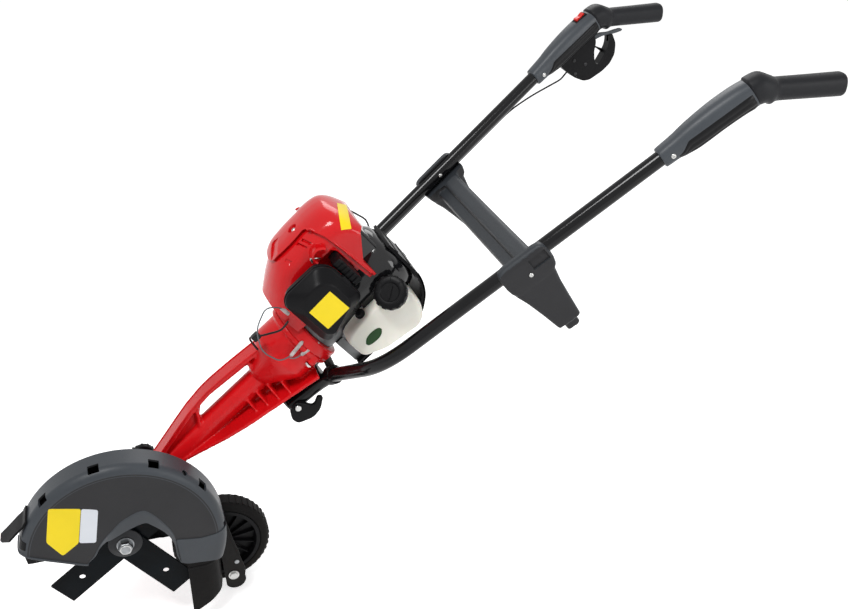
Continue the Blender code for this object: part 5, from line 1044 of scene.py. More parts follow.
class EDGER_OT_housing(bpy.types.Operator):
    """Casts the red drive housing with its rails, web, slab, ribs and bell"""
    bl_idname = "edger.housing"
    bl_label = "Drive housing"

    def execute(self, context):
        shell = lathe("head", mm("0 42, 40 42, 40 -58, 31 -62, 28 -70.6, 0 -70.6"), HUB, 72)
        tunnel = rod("tunnel", 0.0185, 0.02, 0.325, drive_frame(0, 0, -0.0045), 56, "X")
        bell = lathe("bell", mm("0 298, 18.5 298, 24 304, 33 320, 44 338, 50 350, 50 383.5, "
                                "56 386.5, 56 394, 0 394"), DRIVE, 96, "X")
        top = spline(mm("34 6.6, 91 19, 171 37, 199 42, 242 45.2, 324 39.5, 352 34"), 6)
        web = prism("web", [(0.03, -0.002)] + [(s, t - 0.002) for s, t in top] + [(0.35, -0.002)],
                    -0.004, 0.004, DRIVE)
        window = rounded(mm("186 14.5, 210 34, 304 26, 298 14.5"), 0.005, 6)
        carve(web, prism("window", window, -0.03, 0.03, DRIVE))
        rail = band("rail", [(s, t - 0.0035) for s, t in top], 0.03, 0.0072, DRIVE)
        strut = band("strut", mm("176 2, 203 38"), 0.026, 0.0055, DRIVE)
        strut_2 = band("rear_strut", mm("300 10, 309 34"), 0.024, 0.005, DRIVE)
        half = mm("-52 20, -20 27, 30 40, 70 46, 204 52")
        slab = prism("slab", half + [(x, -y) for x, y in reversed(half)], -0.0026, 0.0026, SLAB,
                     "XY")
        keel = prism("keel", mm("120 -12, 360 -12, 360 -46, 180 -18"), -0.004, 0.004, DRIVE)
        ribs = []
        for s, wide in mm("262 36, 282 41, 302 46, 322 50"):
            low = -0.018 - (s - 0.17) * 0.1533
            ribs.append(prism("rib", [(-wide, low - 0.001), (wide, low - 0.001), (0.016, -0.006),
                                      (-0.016, -0.006)], s - 0.0017, s + 0.0017, DRIVE, "YZ"))
        ear = prism("ear", capsule(*mm("16 12, 42 34"), 0.011), 0.03, 0.041, HUB)
        lug = rod("bell_lug", 0.0075, 0.378, 0.394, drive_frame(0, -0.048, -0.0205), 32, "X")
        body = merge("drive_housing_casting", [shell, tunnel, bell, web, rail, strut, strut_2,
                                               slab, keel, ear, lug] + ribs)
        thin(cast(body, 0.0016, 5), 0.45)
        carve(body,
              lathe("head_bore", mm("0 50, 32 50, 32 -50, 11 -50, 11 -55.9, 16.3 -55.9, "
                                    "16.3 -90, 0 -90"), HUB, 48),
              lathe("shaft_bore", mm("0 20, 4.3 20, 4.3 50, 9 53, 9 322.7, 11.3 322.7, "
                                     "11.3 334, 42 352, 42 410, 0 410"), DRIVE, 48, "X"))
        smooth(body, 50)
        dress(body, "red_casting", "drive_housing")

        stud = lathe("height_stud", mm("0 66.8, 3.4 66.8, 4 66, 4 52.2, 9 52.2, 9 40, 0 40"),
                     HUB @ shift(0.042, 0, 0.034), 40)
        dress(smooth(stud, 30), "bright_steel")

        lines = []
        for side in (-1, 1):
            edge = [(s, side * 0.0146, t + 0.0002) for s, t in top[1:-2]]
            lines.append(sweep("rail_edge", edge, 0.0011, DRIVE, 10))
        dress(smooth(merge("rail_beads", lines)), "red_casting")

        cover = lathe("gearbox_lid", mm("0 60, 12.5 60, 14 58.5, 14 50, 36 50, 39.2 49.2, "
                                        "40 47.8, 40 42.3, 22 42.3, 22 30.3, 16.3 30.3, "
                                        "16.3 41.8, 0 41.8"), HUB, 96)
        dress(smooth(cover, 30), "cast_alloy", "gearbox_cover")
        spots = []
        for k in range(6):
            a = radians(60 * k + 12)
            spots.append((HUB @ Vector((0.0335 * cos(a), 0.05, 0.0335 * sin(a))), (0, 1, 0)))
        fixings("gearbox_screws", "pan", spots, "bright_steel", 0.85)
        back = DRIVE.to_3x3() @ Vector((-1, 0, 0))
        fixings("bell_bolts", "hex", [(DRIVE @ Vector(p), back)
                                      for p in mm("375.5 -48 -20.5, 384.5 52 -10")],
                "bright_steel", 0.9)
        return {"FINISHED"}


class EDGER_OT_wheel(bpy.types.Operator):
    """Moulds the depth wheel, its tyre, its arm and the height knob"""
    bl_idname = "edger.wheel"
    bl_label = "Wheel and arm"

    def execute(self, context):
        at = HUB @ shift(0.1435, 0, -0.0915)
        tyre = lathe("wheel_tyre", mm("62.2 -35.5, 64 -37.6, 70 -38, 73.8 -36.4, 76.2 -33, "
                                      "76.8 -28, 77 -20.5, 76.8 -13, 76.2 -8, 73.8 -4.6, 70 -3, "
                                      "64 -3.4, 62.2 -5.5"), at, 144)
        dress(smooth(tyre, 40), "tyre_rubber", "tyre")
        mid = -0.0205
        middle = at @ shift(0, mid, 0) @ turned(-90, "X")
        repeat("tyre_lugs", "ring", context.scene.edger_sizes.tread_lugs, 0.0766,
               (0.0024, 0.0052, 0.023), "tyre_rubber", middle, 0.0005, "wheel")

        half = mm("8.3 17.2, 13 17.2, 14.2 16, 15.5 5, 53 3.4, 55.5 15, 56 16.4, 61.8 16.4")
        disc = lathe("wheel_disc", [(r, mid + h) for r, h in half]
                     + [(r, mid - h) for r, h in reversed(half)], at, 120)
        slots = []
        for i in range(5):
            a = 2 * pi * i / 5 + 0.5
            slots.append(prism("slot", capsule(*mm("26.5 0, 41.5 0"), 0.0042), -0.06, 0.02,
                               at @ Matrix.Rotation(-a, 4, "Y")))
        carve(disc, *slots)
        dress(soften(disc, 0.0007, 2, 35), "black_moulding", "wheel")
        repeat("wheel_ribs", "ring", 15, 0.0345, (0.039, 0.002, 0.02), "black_moulding",
               middle @ Matrix.Rotation(0.5 + pi / 15, 4, "Z"), 0.0005, "wheel")

        arm = prism("arm_plate", capsule(*mm("0 0, 143.5 -91.5"), 0.014, 24), 0.0525, 0.0565, HUB)
        sector = prism("arm_sector", [(0.0, 0.0)] + arc((0, 0), 0.067, 12, 66, 24), 0.0525, 0.0565,
                       HUB)
        boss = rod("arm_boss", 0.022, 0.0525, 0.0567, HUB, 64)
        carve(arm, sector, boss, operation="UNION")
        reach, angle, wide = sqrt(0.042 ** 2 + 0.034 ** 2), degrees(atan2(0.034, 0.042)), 0.0046
        slot = (arc((0, 0), reach + wide, angle - 16, angle + 16, 16)
                + arc((reach * cos(radians(angle + 16)), reach * sin(radians(angle + 16))), wide,
                      angle + 16, angle + 196, 10)[1:-1]
                + arc((0, 0), reach - wide, angle + 16, angle - 16, 16)
                + arc((reach * cos(radians(angle - 16)), reach * sin(radians(angle - 16))), wide,
                      angle + 164, angle + 344, 10)[1:-1])
        carve(arm, prism("arm_slot", slot, 0.04, 0.07, HUB),
              rod("arm_bore", 0.0143, 0.04, 0.07, HUB, 64))
        dress(soften(arm, 0.0006, 2, 35), "bracket_paint", "wheel_arm")
        axle = lathe("wheel_axle", mm("0 60, 6 60, 8 58.5, 8 0, 12 0, 12 -2.7, 8 -2.7, 8 -38.3, "
                                      "11 -38.3, 10.5 -41.8, 0 -42"), at, 48)
        dress(smooth(axle, 30), "bright_steel", body="wheel_arm")

        place = HUB @ shift(0.042, 0, 0.034)
        knob = lathe("knob_body", mm("0 77.3, 12 77.3, 16.5 76.2, 18.5 73.5, 18.8 67, 18 65, "
                                     "10.5 63.2, 10 57.5, 4.3 57.5, 4.3 68.5, 0 68.5"), place, 64)
        dress(smooth(knob, 35), "black_moulding", "height_knob")
        repeat("knob_lobes", "ring", 12, 0.018, (0.003, 0.0034, 0.007), "black_moulding",
               place @ shift(0, 0.071, 0) @ turned(-90, "X"), 0.0012, "height_knob")
        return {"FINISHED"}


class EDGER_OT_engine(bpy.types.Operator):
    """Builds the crankcase, the finned cylinder, the silencer and the carburettor"""
    bl_idname = "edger.engine"
    bl_label = "Engine block"

    def execute(self, context):
        bore = drive_frame(0.456, 0, 0)
        ring = lathe("adapter_ring", mm("56 394.3, 56.6 395.5, 56.6 410, 55 411.8, 7 412, 7 406, "
                                        "42 406, 42 394.3"), DRIVE, 120, "X")
        dress(smooth(ring, 35), "red_casting", "engine_adapter")
        case = lathe("case", mm("6.3 412.3, 45 412.3, 46 414, 46 496, 44 498, 6.3 498, 6.3 490, "
                                "36 490, 36 420.3, 6.3 420.3"), DRIVE, 96, "X")
        lug = block("lug", *mm("424 -30 -84, 437 30 -38"), DRIVE)
        deck = block("deck", *mm("430 -26 38, 482 26 47"), DRIVE)
        carve(case, lug, deck, operation="UNION")
        opening = rod("opening", 0.0178, 0.02, 0.08, bore, 48, "Z")
        pockets = [block("pocket", (0.4225, y - 0.006, -0.078), (0.4275, y + 0.006, -0.052), DRIVE)
                   for y in (-0.016, 0.0, 0.016)]
        carve(case, opening, *pockets)
        dress(soften(case, 0.0012, 2, 35), "cast_alloy", "crankcase")

        count = context.scene.edger_sizes.fins
        barrel = lathe("barrel",
                       mm("17.6 47.3, 24.5 47.3, 24.5 108, 23.5 110, 5.3 110, 5.3 100, 17.6 100"),
                       bore, 64, "Z")
        foot = block("foot", *mm("-26 -26 47.3, 26 26 51.3"), bore)
        ports = [block("port", (-0.017, y - 0.006, 0.053), (0.017, y + 0.006, 0.079), bore)
                 for y in (-0.0207, 0.0207)]
        carve(foot, rod("foot_bore", 0.0176, 0.04, 0.06, bore, 48, "Z"))
        for port in ports:
            carve(port, rod("port_bore", 0.02, 0.04, 0.09, bore, 48, "Z"))
        barrel = merge("cylinder_barrel", [barrel, foot] + ports)
        dress(soften(barrel, 0.0006, 2, 35), "cast_alloy", "cylinder")
        step = 0.0534 / (count - 1)
        fins = repeat("cylinder_fins", "row", count, (0.0, 0.0, step), (0.052, 0.052, 0.002),
                      "cast_alloy", drive_frame(0.456, 0, 0.054))
        carve(fins, rod("fin_bore", 0.024, 0.04, 0.12, bore, 48, "Z"))
        dress(soften(fins, 0.0005, 2, 35), "cast_alloy")

        plug = lathe("plug_body", mm("0 127, 3 127, 3.4 124, 2.8 122.5, 3.6 119, 4 117.5, "
                                     "9 117.2, 9 110.4, 5 110, 5 96.2, 0 96.2"), bore, 40, "Z")
        dress(smooth(plug, 30), "porcelain", "spark_plug")

        carb = block("carb", *mm("440 -77.7 46, 480 -42 85.7"), DRIVE)
        neck = block("carb_neck", *mm("441 -46 54, 471 -27.2 78"), DRIVE)
        carve(carb, neck, operation="UNION")
        carve(carb, rod("throat", 0.008, -0.09, -0.02, drive_frame(0.456, 0, 0.066), 40))
        dress(soften(carb, 0.0018, 3, 35), "cast_alloy", "carburettor")
        pots = [lathe("bowl", mm("0 0, 10 0, 11.8 1.5, 11.8 6, 0 6"),
                      drive_frame(0.458, -0.058, 0.0397), 40, "Z"),
                rod("barb", 0.002, 0.0, 0.01, drive_frame(0.478, -0.058, 0.06), 24, "X")]
        dress(smooth(merge("carburettor_fittings", pots), 30), "bright_steel", slot="alloy")

        can = block("can", *mm("434 46 30, 504 92 90"), DRIVE)
        neck = block("can_neck", *mm("442 27.2 56, 470 50 76"), DRIVE)
        carve(can, neck, operation="UNION")
        outlet = rod("outlet", 0.006, 0.08, 0.1, drive_frame(0.488, 0, 0.04), 40)
        soften(can, 0.005, 4, 35)
        dress(smooth(carve(can, outlet), 35), "exhaust", "muffler")
        repeat("silencer_louvres", "row", 7, (0.0075, 0.0, 0.0), (0.0028, 0.0024, 0.028),
               "exhaust", drive_frame(0.4455, 0.0922, 0.068), 0.0007)
        return {"FINISHED"}


class EDGER_OT_cover(bpy.types.Operator):
    """Moulds the red top cover with its raised dome, side steps, vents and recesses"""
    bl_idname = "edger.cover"
    bl_label = "Top cover"

    STATIONS = mm("404 101 34, 430 119.5 34, 459 137 30, 484 141.5 26, 508 143 23, 540 143 20, "
                  "560 138.5 20, 572 125 20, 582 103 20")

    def skin(self, name, inset, deep=False):
        """The cover's outer form drawn in by an inset; a deep one is open at the foot."""
        rings = []
        line = spline(self.STATIONS, 4)
        for i, (s, top, foot) in enumerate(line):
            end = min(i, len(line) - 1 - i)
            half = 0.06 - inset - 0.004 * (1 - ease(end, 0, 4))
            top -= inset * 1.15
            if deep:
                foot -= 0.03
                s += inset if i == 0 else -inset if i == len(line) - 1 else 0.0
            side = spline([(half, foot), (half + 0.0006, (foot + top - 0.036) / 2),
                           (half + 0.001, top - 0.036), (half - 0.006, top - 0.018),
                           (half - 0.022, top - 0.007), (half - 0.04, top - 0.0015), (0.0, top)],
                          5)
            ring = side + [(-y, t) for y, t in reversed(side[:-1])]
            rings.append([(s, y, t) for y, t in ring])
        return loft(name, rings, DRIVE)

    def execute(self, context):
        step = mm("380 118, 404 118, 443.3 129, 465 134.5, 490 136.2, 518.5 138, 525.6 135.2, "
                  "535.5 120.5, 540.6 81.3, 544.1 17.9, 544.1 -50, 380 -50")
        under = rounded(step, 0.004, 3)

        lower = self.skin("cover_lower", 0.0044)
        hood = self.skin("cover_front", 0.0007)
        dome = self.skin("cover_dome", 0.0)
        for ob in (hood, dome):
            carve(ob, prism("under_step", under, -0.09, 0.09, DRIVE))
        carve(hood, prism("hood_end", mm("526.3 -50, 526.3 200, 700 200, 700 -50"), -0.1, 0.1,
                          DRIVE))
        carve(dome, prism("dome_start", mm("526 -50, 526 200, 350 200, 350 -50"), -0.1, 0.1,
                          DRIVE))

        details = {"lower": [], "hood": [], "dome": []}
        for side in (-1, 1):
            for s, y, t, long in mm("510 46.5 131 8.5, 501.2 46.5 131 8.5, 471.5 47.5 129.5 5.5"):
                spot = drive_frame(s, side * y, t, (side * -37, "X"), (side * -21, "Z"))
                details["lower"].append(block("vent", (-0.0021, -long, -0.01),
                                              (0.0021, long, 0.01), spot))
        details["hood"].append(lathe("screw_well", mm("0 10, 9.6 10, 6.4 -4.6, 0 -4.6"),
                                     drive_frame(0.5054, -0.01, 0.1408), 48, "Z"))
        badge = rounded(mm("-19 -8.5, 19 -8.5, 19 8.5, -19 8.5"), 0.004, 5)
        spot = drive_frame(0.4655, -0.01, 0.137, (-17, "Y"), (60, "Z"))
        details["hood"].append(prism("badge_well", badge, -0.0016, 0.01, spot, "XY"))
        left = mm("431 10, 431 87, 440 96, 527 97, 532.5 90, 534.6 52.6, 537.5 16.2, 537.5 10")
        rear = mm("548 10, 548 49, 575.5 86.2, 640 87.5, 640 10")
        right = mm("430 10, 430 94, 508 94, 518 58.5, 560 58.5, 560 10")
        for key, ob, wall in (("lower", lower, 0.0066), ("hood", hood, 0.0048),
                              ("dome", dome, 0.0045)):
            carve(ob, self.skin("room", wall, True))
            carve(ob, *details[key], rod("bell_room", 0.057, 0.38, 0.4122, DRIVE, 72, "X"),
                  prism("left_window", left, -0.08, -0.045, DRIVE),
                  prism("rear_window", rear, -0.1, 0.1, DRIVE),
                  prism("right_window", right, 0.045, 0.08, DRIVE),
                  rod("cable_hole", 0.0022, 0.04, 0.08, drive_frame(0.566, 0, 0.084), 24))
            soften(ob, 0.0011, 3, 32)
        cover = merge("engine_cover", [lower, hood, dome])
        strip = [drive_point(s, t, -0.045)
                 for s, t in mm("580.8 138.2, 588.6 125.1, 568.6 93.1, 557.3 102.5")]
        aim = drive_point(0.575, 0.117, -0.045) - CAMERA
        dress(patch("cover_strip", cover, strip, aim, HUB), "label_yellow", slot="red_paint")
        dress(cover, "red_cover", "top_cover")

        scoop = lathe("scoop_outer",
                      mm("12.5 -48, 15 -48, 15.7 -60, 14.6 -67.2, 11.8 -69.2, 9.6 -67.2, 9.2 -48"),
                      drive_frame(0.5125, 0, 0.104), 72)
        carve(scoop, block("scoop_trim", *mm("-50 -90 -50, 50 -30 0"),
                           drive_frame(0.5125, 0, 0.104, (-20, "Y"))))
        dress(soften(scoop, 0.001, 2, 35), "red_cover")
        beads = []
        for side in (-1, 1):
            line = mm("522 38.5 137.5, 527.5 42 134.5, 535.5 53.5 120.5, 538.6 60 101, "
                      "540.6 60.8 81.3, 542.5 60.6 50, 544.1 60.2 24")
            line = spline([(s, side * y, t) for s, y, t in line], 6)
            beads.append(sweep("ridge", line, [0.0006] + [0.0016] * (len(line) - 2) + [0.0006],
                               DRIVE, 14))
        dress(smooth(merge("cover_ridges", beads)), "red_cover")
        elbow = block("elbow", *mm("516 -84 40, 531.5 -50 90"), DRIVE)
        elbow_ribs = [block("elbow_rib", (0.5175, -0.0862, t), (0.53, -0.0835, t + 0.0022), DRIVE)
                      for t in (0.048, 0.056, 0.064, 0.072, 0.08)]
        dress(merge("intake_elbow", [soften(elbow, 0.003, 3)]
                    + [soften(rib, 0.0007, 2) for rib in elbow_ribs]), "black_moulding")
        bend = spline(mm("496 -60 104, 500 -65.5 110, 506 -66.5 107.5, 508.5 -60 100"), 8)
        linkage = [sweep("choke_rod", bend, 0.0013, DRIVE, 12),
                   lathe("choke_end", mm("0 -68, 2.8 -68, 3.2 -67, 3.2 -64, 0 -64"),
                         drive_frame(0.5, 0, 0.11), 24)]
        dress(smooth(merge("choke_linkage", linkage), 35), "bright_steel")
        up = DRIVE.to_3x3() @ Vector((0.0, 0.0, 1.0))
        fixings("cover_screw", "pan", [(DRIVE @ Vector((0.5054, -0.01, 0.1376)), up)],
                "bright_steel")
        return {"FINISHED"}


class EDGER_OT_cleaner(bpy.types.Operator):
    """Moulds the air cleaner's base and its bevelled lid"""
    bl_idname = "edger.cleaner"
    bl_label = "Air cleaner"

    def outline(self, inset, chamfer=0.0):
        s0, s1, t0, t1 = 0.43 + inset, 0.5155 - inset, 0.0105 + inset, 0.1125 - inset
        cut = 0.012 + chamfer
        points = [(s0 + 0.0085, t0), (s1 - 0.005, t0 + 0.0165), (s1, t0 + 0.025), (s1, t1 - 0.016),
                  (s1 - 0.014, t1), (s0 + cut, t1), (s0, t1 - cut), (s0, t0 + 0.0085)]
        return rounded(points, 0.009, 5)

    def seat(self, inset):
        """The outline above the hinge, where the lid meets the base."""
        return [(s, max(t, 0.0208 + inset)) for s, t in self.outline(inset)]

    def execute(self, context):
        split = -0.0903
        base = prism("cleaner_base", self.seat(0.002), split, split + 0.012, DRIVE)
        carve(base, prism("base_room", self.seat(0.0048), split - 0.01, split + 0.0095, DRIVE))
        dress(soften(base, 0.0008, 2, 35), "black_moulding", "air_cleaner_base")
        rings = []
        for y, inset, chamfer in ((split - 0.0003, 0.0006, 0.0), (split - 0.0012, 0.0, 0.0),
                                  *mm("-97 0.2 0, -99 1 1, -101 2.4 2, -111 10.6 6, "
                                      "-113.5 12.4 7, -114.7 14 8, -115 16 9")):
            rings.append([(p[0], y, p[1]) for p in self.outline(inset, chamfer)])
        lid = loft("cleaner_lid", between(rings, 3), DRIVE)
        room = loft("lid_room", [[(p[0], y, p[1]) for p in self.seat(inset)] for y, inset in
                                 ((split + 0.004, 0.003), (-0.099, 0.005), (-0.1105, 0.015))],
                    DRIVE)
        carve(lid, room)
        dress(smooth(lid, 40), "black_moulding", "air_cleaner_cover")
        bead = rounded([(p[0], p[1]) for p in self.outline(-0.0006)[::3]], 0.002, 2)
        ring = [Vector((p[0], split - 0.0022, p[1])) for p in bead]
        seam = sweep("lid_seam", ring + ring[:2], 0.0009, DRIVE, 10)
        dress(smooth(seam), "black_moulding", body="air_cleaner_cover")
        plate = prism("cleaner_plate", rounded(mm("450 78, 492 80, 493 39, 450 38"), 0.001, 3),
                      -0.1154, -0.1149, DRIVE)
        dress(soften(plate, 0.00015, 1), "label_yellow", body="air_cleaner_cover",
              slot="black_plastic")
        latch = prism("lid_latch", rounded(mm("512 56, 518.5 58, 518.5 74, 512 76"), 0.003, 4),
                      -0.1, -0.0925, DRIVE)
        dress(soften(latch, 0.001, 2), "black_moulding", body="air_cleaner_cover")
        return {"FINISHED"}


class EDGER_OT_starter(bpy.types.Operator):
    """Moulds the glossy recoil housing, its vents and the pull grip"""
    bl_idname = "edger.starter"
    bl_label = "Recoil starter"

    def execute(self, context):
        outer = mm("0 585, 40 584.8, 48 582.5, 54 577.5, 57 570, 58 560, 58 498.3, 55 498.3, "
                   "55 559, 53 570, 48 576, 40 579, 0 579")
        shell = lathe("recoil_shell", outer, DRIVE, 112, "X")
        duct = block("duct", *mm("498.3 -40 30, 576.5 40 92"), DRIVE)
        soften(duct, 0.006, 4, 35)
        room = block("duct_room", *mm("490 -37 0, 573.5 37 88.5"), DRIVE)
        carve(duct, room, rod("fan_room", 0.055, 0.48, 0.6, DRIVE, 96, "X"))
        windows = []
        for k in range(12):
            windows.append(prism("slot", capsule(*mm("24 0, 40 0"), 0.0026, 8), 0.57, 0.6,
                                 DRIVE @ turned(30 * k + 15, "X"), "YZ"))
        place = drive_frame(0.5535, 0, 0, (-60, "X"))
        carve(shell, rod("rope_hole", 0.004, 0.03, 0.07, place, 32, "Z"), *windows)
        post = lathe("pulley_post", mm("0 547, 4.6 547, 5 548, 5 583, 0 583"), DRIVE, 32, "X")
        body = merge("recoil_housing", [soften(shell, 0.0008, 2, 35), smooth(duct, 35),
                                        smooth(post, 35)])
        dress(body, "black_gloss", "recoil_cover")
        repeat("recoil_ribs", "row", 5, (0.0, 0.017, 0.0), (0.07, 0.0022, 0.0024), "black_gloss",
               drive_frame(0.5365, -0.034, 0.0922), 0.0007)
        clips = [block("clip", (0.553, y - 0.005, 0.08), (0.5772, y + 0.005, 0.09), DRIVE)
                 for y in (-0.03, 0.03)]
        dress(soften(merge("recoil_clips", clips), 0.0012, 2), "black_gloss")

        grip = lathe("grip_body", mm("0 78.5, 7 78.3, 9.5 76.8, 10.8 74.5, 10 72.2, 7 68.5, "
                                     "6.2 64, 6.6 60, 6.4 58.4, 0 58.4"), place, 56, "Z")
        stub = rod("grip_stub", 0.0025, 0.059, 0.0466, place, 24, "Z")
        dress(smooth(merge("starter_pull_grip", [grip, stub]), 40), "grip_rubber", "starter_grip")
        return {"FINISHED"}


class EDGER_OT_tank(bpy.types.Operator):
    """Blows the white fuel tank, and fits its ribbed cap and the black guard strap"""
    bl_idname = "edger.tank"
    bl_label = "Fuel tank"

    def execute(self, context):
        outline = rounded(mm("444 -26, 444 -62, 478 -79, 542 -89, 556 -80, 565 -62, 565 -24, "
                             "556 -12, 500 -10, 456 -18"), 0.008, 4)
        centre = Vector((0.505, -0.05))
        rings = []
        for f, y in ((0.86, -0.078), (0.925, -0.0768), (0.965, -0.0735), (0.99, -0.068),
                     (1.0, -0.06), (1.0, 0.052), (0.99, 0.06), (0.965, 0.0655), (0.925, 0.0688),
                     (0.86, 0.07)):
            rings.append([(centre.x + (p[0] - centre.x) * f, y, centre.y + (p[1] - centre.y) * f)
                          for p in outline])
        body = loft("tank_body", rings, DRIVE)
        place = drive_frame(0.545, -0.087, -0.003, (45, "X"))
        neck = lathe("tank_neck", mm("0 -30, 21.5 -30, 18.5 -16.5, 17.2 -12, 17 -2.8, 0 -2.8"),
                     place, 64, "Z")
        tank = cast(merge("tank_shell", [body, neck]), 0.0016, 8)
        carve(tank, rod("case_room", 0.048, 0.4, 0.51, DRIVE, 96, "X"),
              rod("recoil_room", 0.0587, 0.4963, 0.62, DRIVE, 96, "X"),
              rod("neck_bore", 0.0125, -0.022, 0.01, place, 48, "Z"))
        dress(smooth(tank, 40), "tank_plastic", "fuel_tank")

        def leaf(u, v):
            a = 2 * pi * u
            reach = v * (1.0 - 0.1 * abs(sin(a)) ** 0.5)
            point = 1.0 + 0.18 * max(cos(a - 0.6), 0.0) ** 8 + 0.22 * max(cos(a + 2.6), 0.0) ** 8
            return 0.5 + 0.5 * reach * point * cos(a), 0.5 + 0.34 * reach * point * sin(a)

        mark = patch("tank_leaf", tank,
                     mm("464 -78.5 -59, 495 -78.5 -59, 495 -78.5 -32, 464 -78.5 -32"), (0, 1, 0),
                     DRIVE, leaf, 28)
        dress(mark, "label_green", slot="tank_white")
        seam_line = [(centre.x + (p[0] - centre.x) * 1.003, 0.0,
                      centre.y + (p[1] - centre.y) * 1.003) for p in outline[5:32]]
        seam = sweep("tank_seam", seam_line, 0.0011, DRIVE @ shift(0, -0.004, 0), 10)
        dress(smooth(seam), "tank_plastic")

        cap = lathe("cap_body", mm("0 -1.4, 13.5 -1.4, 14.8 -0.2, 16 0, 22.5 -0.2, 24 -1, "
                                   "24.8 -2.6, 24.8 -9.6, 25.2 -11, 17.9 -11, 17.9 -2.6, 0 -2.6"),
                    place, 112, "Z")
        dress(smooth(cap, 30), "black_moulding", "fuel_cap")
        repeat("cap_ribs", "ring", context.scene.edger_sizes.cap_ribs, 0.0247,
               (0.0026, 0.0058, 0.0088), "black_moulding", place @ shift(0, 0, -0.0058), 0.0007,
               "fuel_cap")
        bar = prism("cap_bar", capsule(*mm("-8.5 0, 8.5 0"), 0.0024, 10), -0.0016, 0.0006,
                    place @ turned(35, "Z"), "XY")
        marks = [prism("cap_mark", capsule((0.018 * cos(a), 0.018 * sin(a)),
                                           (0.0208 * cos(a), 0.0208 * sin(a)), 0.0007, 6),
                       -0.0008, 0.0004, place, "XY") for a in (2 * pi * k / 8 for k in range(8))]
        dress(soften(merge("cap_face", [bar] + marks), 0.0003, 2), "black_moulding",
              body="fuel_cap")

        path = rounded(mm("425 -86.8, 478 -86.8, 546 -97.5, 575 -74, 587.8 -46, 587.8 28"), 0.014,
                       8, closed=False)
        strap = band("strap", path, 0.08, 0.005, DRIVE)
        carve(strap, rod("strap_room", 0.0586, 0.48, 0.5853, DRIVE, 96, "X"))
        dress(soften(strap, 0.0014, 3, 35), "black_moulding", "tank_guard")
        beads = []
        for side in (-0.0385, 0.0385):
            beads.append(band("strap_bead", [(s + 0.0012, t - 0.0016) for s, t in path[:-3]],
                              0.003, 0.0036, DRIVE, centre=side))
        for s, t, tilt in ((0.585, -0.053, -70), (0.5905, -0.02, -90), (0.5905, 0.01, -90)):
            beads.append(block("strap_rib", *mm("-1.6 -39 -1.2, 1.6 39 1.2"),
                               drive_frame(s, 0, t, (tilt, "Y"))))
        dress(soften(merge("strap_ribs", beads), 0.0006, 2, 35), "black_moulding")
        return {"FINISHED"}


class EDGER_OT_mount(bpy.types.Operator):
    """Makes the handle bracket, its pivot pin, the yoke and the clamp lever"""
    bl_idname = "edger.mount"
    bl_label = "Handle mount"

    def execute(self, context):
        body = block("bracket_body", *mm("128 -18.4 -40, 204 18.4 -4.5"), SLAB)
        top = prism("bracket_plate", rounded(mm("122 -40, 206 -40, 206 40, 122 40"), 0.006, 5),
                    -0.0068, -0.0028, SLAB, "XY")
        bracket = cast(merge("bracket_casting", [soften(body, 0.004, 3), top]), 0.0014, 4)
        pin = drive_point(0.312, -0.065)
        place = HUB @ shift(pin.x, 0, pin.z)
        carve(bracket, rod("bracket_bore", 0.0053, -0.06, 0.06, place, 40),
              rod("bell_clear", 0.0504, 0.3, 0.394, DRIVE, 96, "X"))
        dress(smooth(bracket, 40), "bracket_paint", "handle_bracket")
        down = SLAB.to_3x3() @ Vector((0, 0, -1))
        spots = [(SLAB @ Vector((x, y, -0.0068)), down)
                 for x in (0.132, 0.197) for y in (-0.031, 0.031)]
        fixings("bracket_bolts", "hex", spots, "bright_steel", 0.75)

        shaft = lathe("pin_body",
                      mm("0 46.4, 8 46.4, 9 45.5, 9 41.3, 5 41.3, 5 -50.5, 4.5 -51.3, 0 -51.3"),
                      place, 48)
        dress(smooth(shaft, 30), "bright_steel", "pivot_pin")

        at = drive_point(0.387, -0.0712)
        bar = sweep("yoke_rod", [(at.x, y, at.z - 0.001) for y in (-0.04, 0.04)], 0.007, HUB, 40)
        rings = []
        for side in (-1, 1):
            route = tube_route(side, 3)
            spot = (HUB @ Matrix.Translation(drive_point(0.38, -0.0705, side * 0.0345))
                    @ facing(Vector(route[7]) - Vector(route[3])))
            rings.append(lathe("yoke_ring", mm("11.4 0, 14.2 0, 15 0.8, 15 13.2, 14.2 14, "
                                               "11.4 14"), spot, 56, "Z"))
        dress(smooth(merge("yoke_finished", [soften(bar, 0.0012, 2)] + rings), 35),
              "bracket_paint", "handle_yoke")

        def sd(s, t):
            p = drive_point(s, t)
            return (p.x, p.z)

        outline = [sd(0.301, -0.058), sd(0.291, -0.074), sd(0.293, -0.086), sd(0.316, -0.097),
                   sd(0.334, -0.094), sd(0.351, -0.081), sd(0.346, -0.074), sd(0.33, -0.082),
                   sd(0.324, -0.066), sd(0.318, -0.056)]
        lever = prism("lever_blade", rounded(outline, 0.007, 6), -0.0496, -0.0416, HUB)
        carve(lever, rod("lever_bore", 0.0053, -0.06, -0.03, place, 40))
        dress(soften(lever, 0.0018, 3, 35), "black_moulding", "clamp_lever")
        return {"FINISHED"}


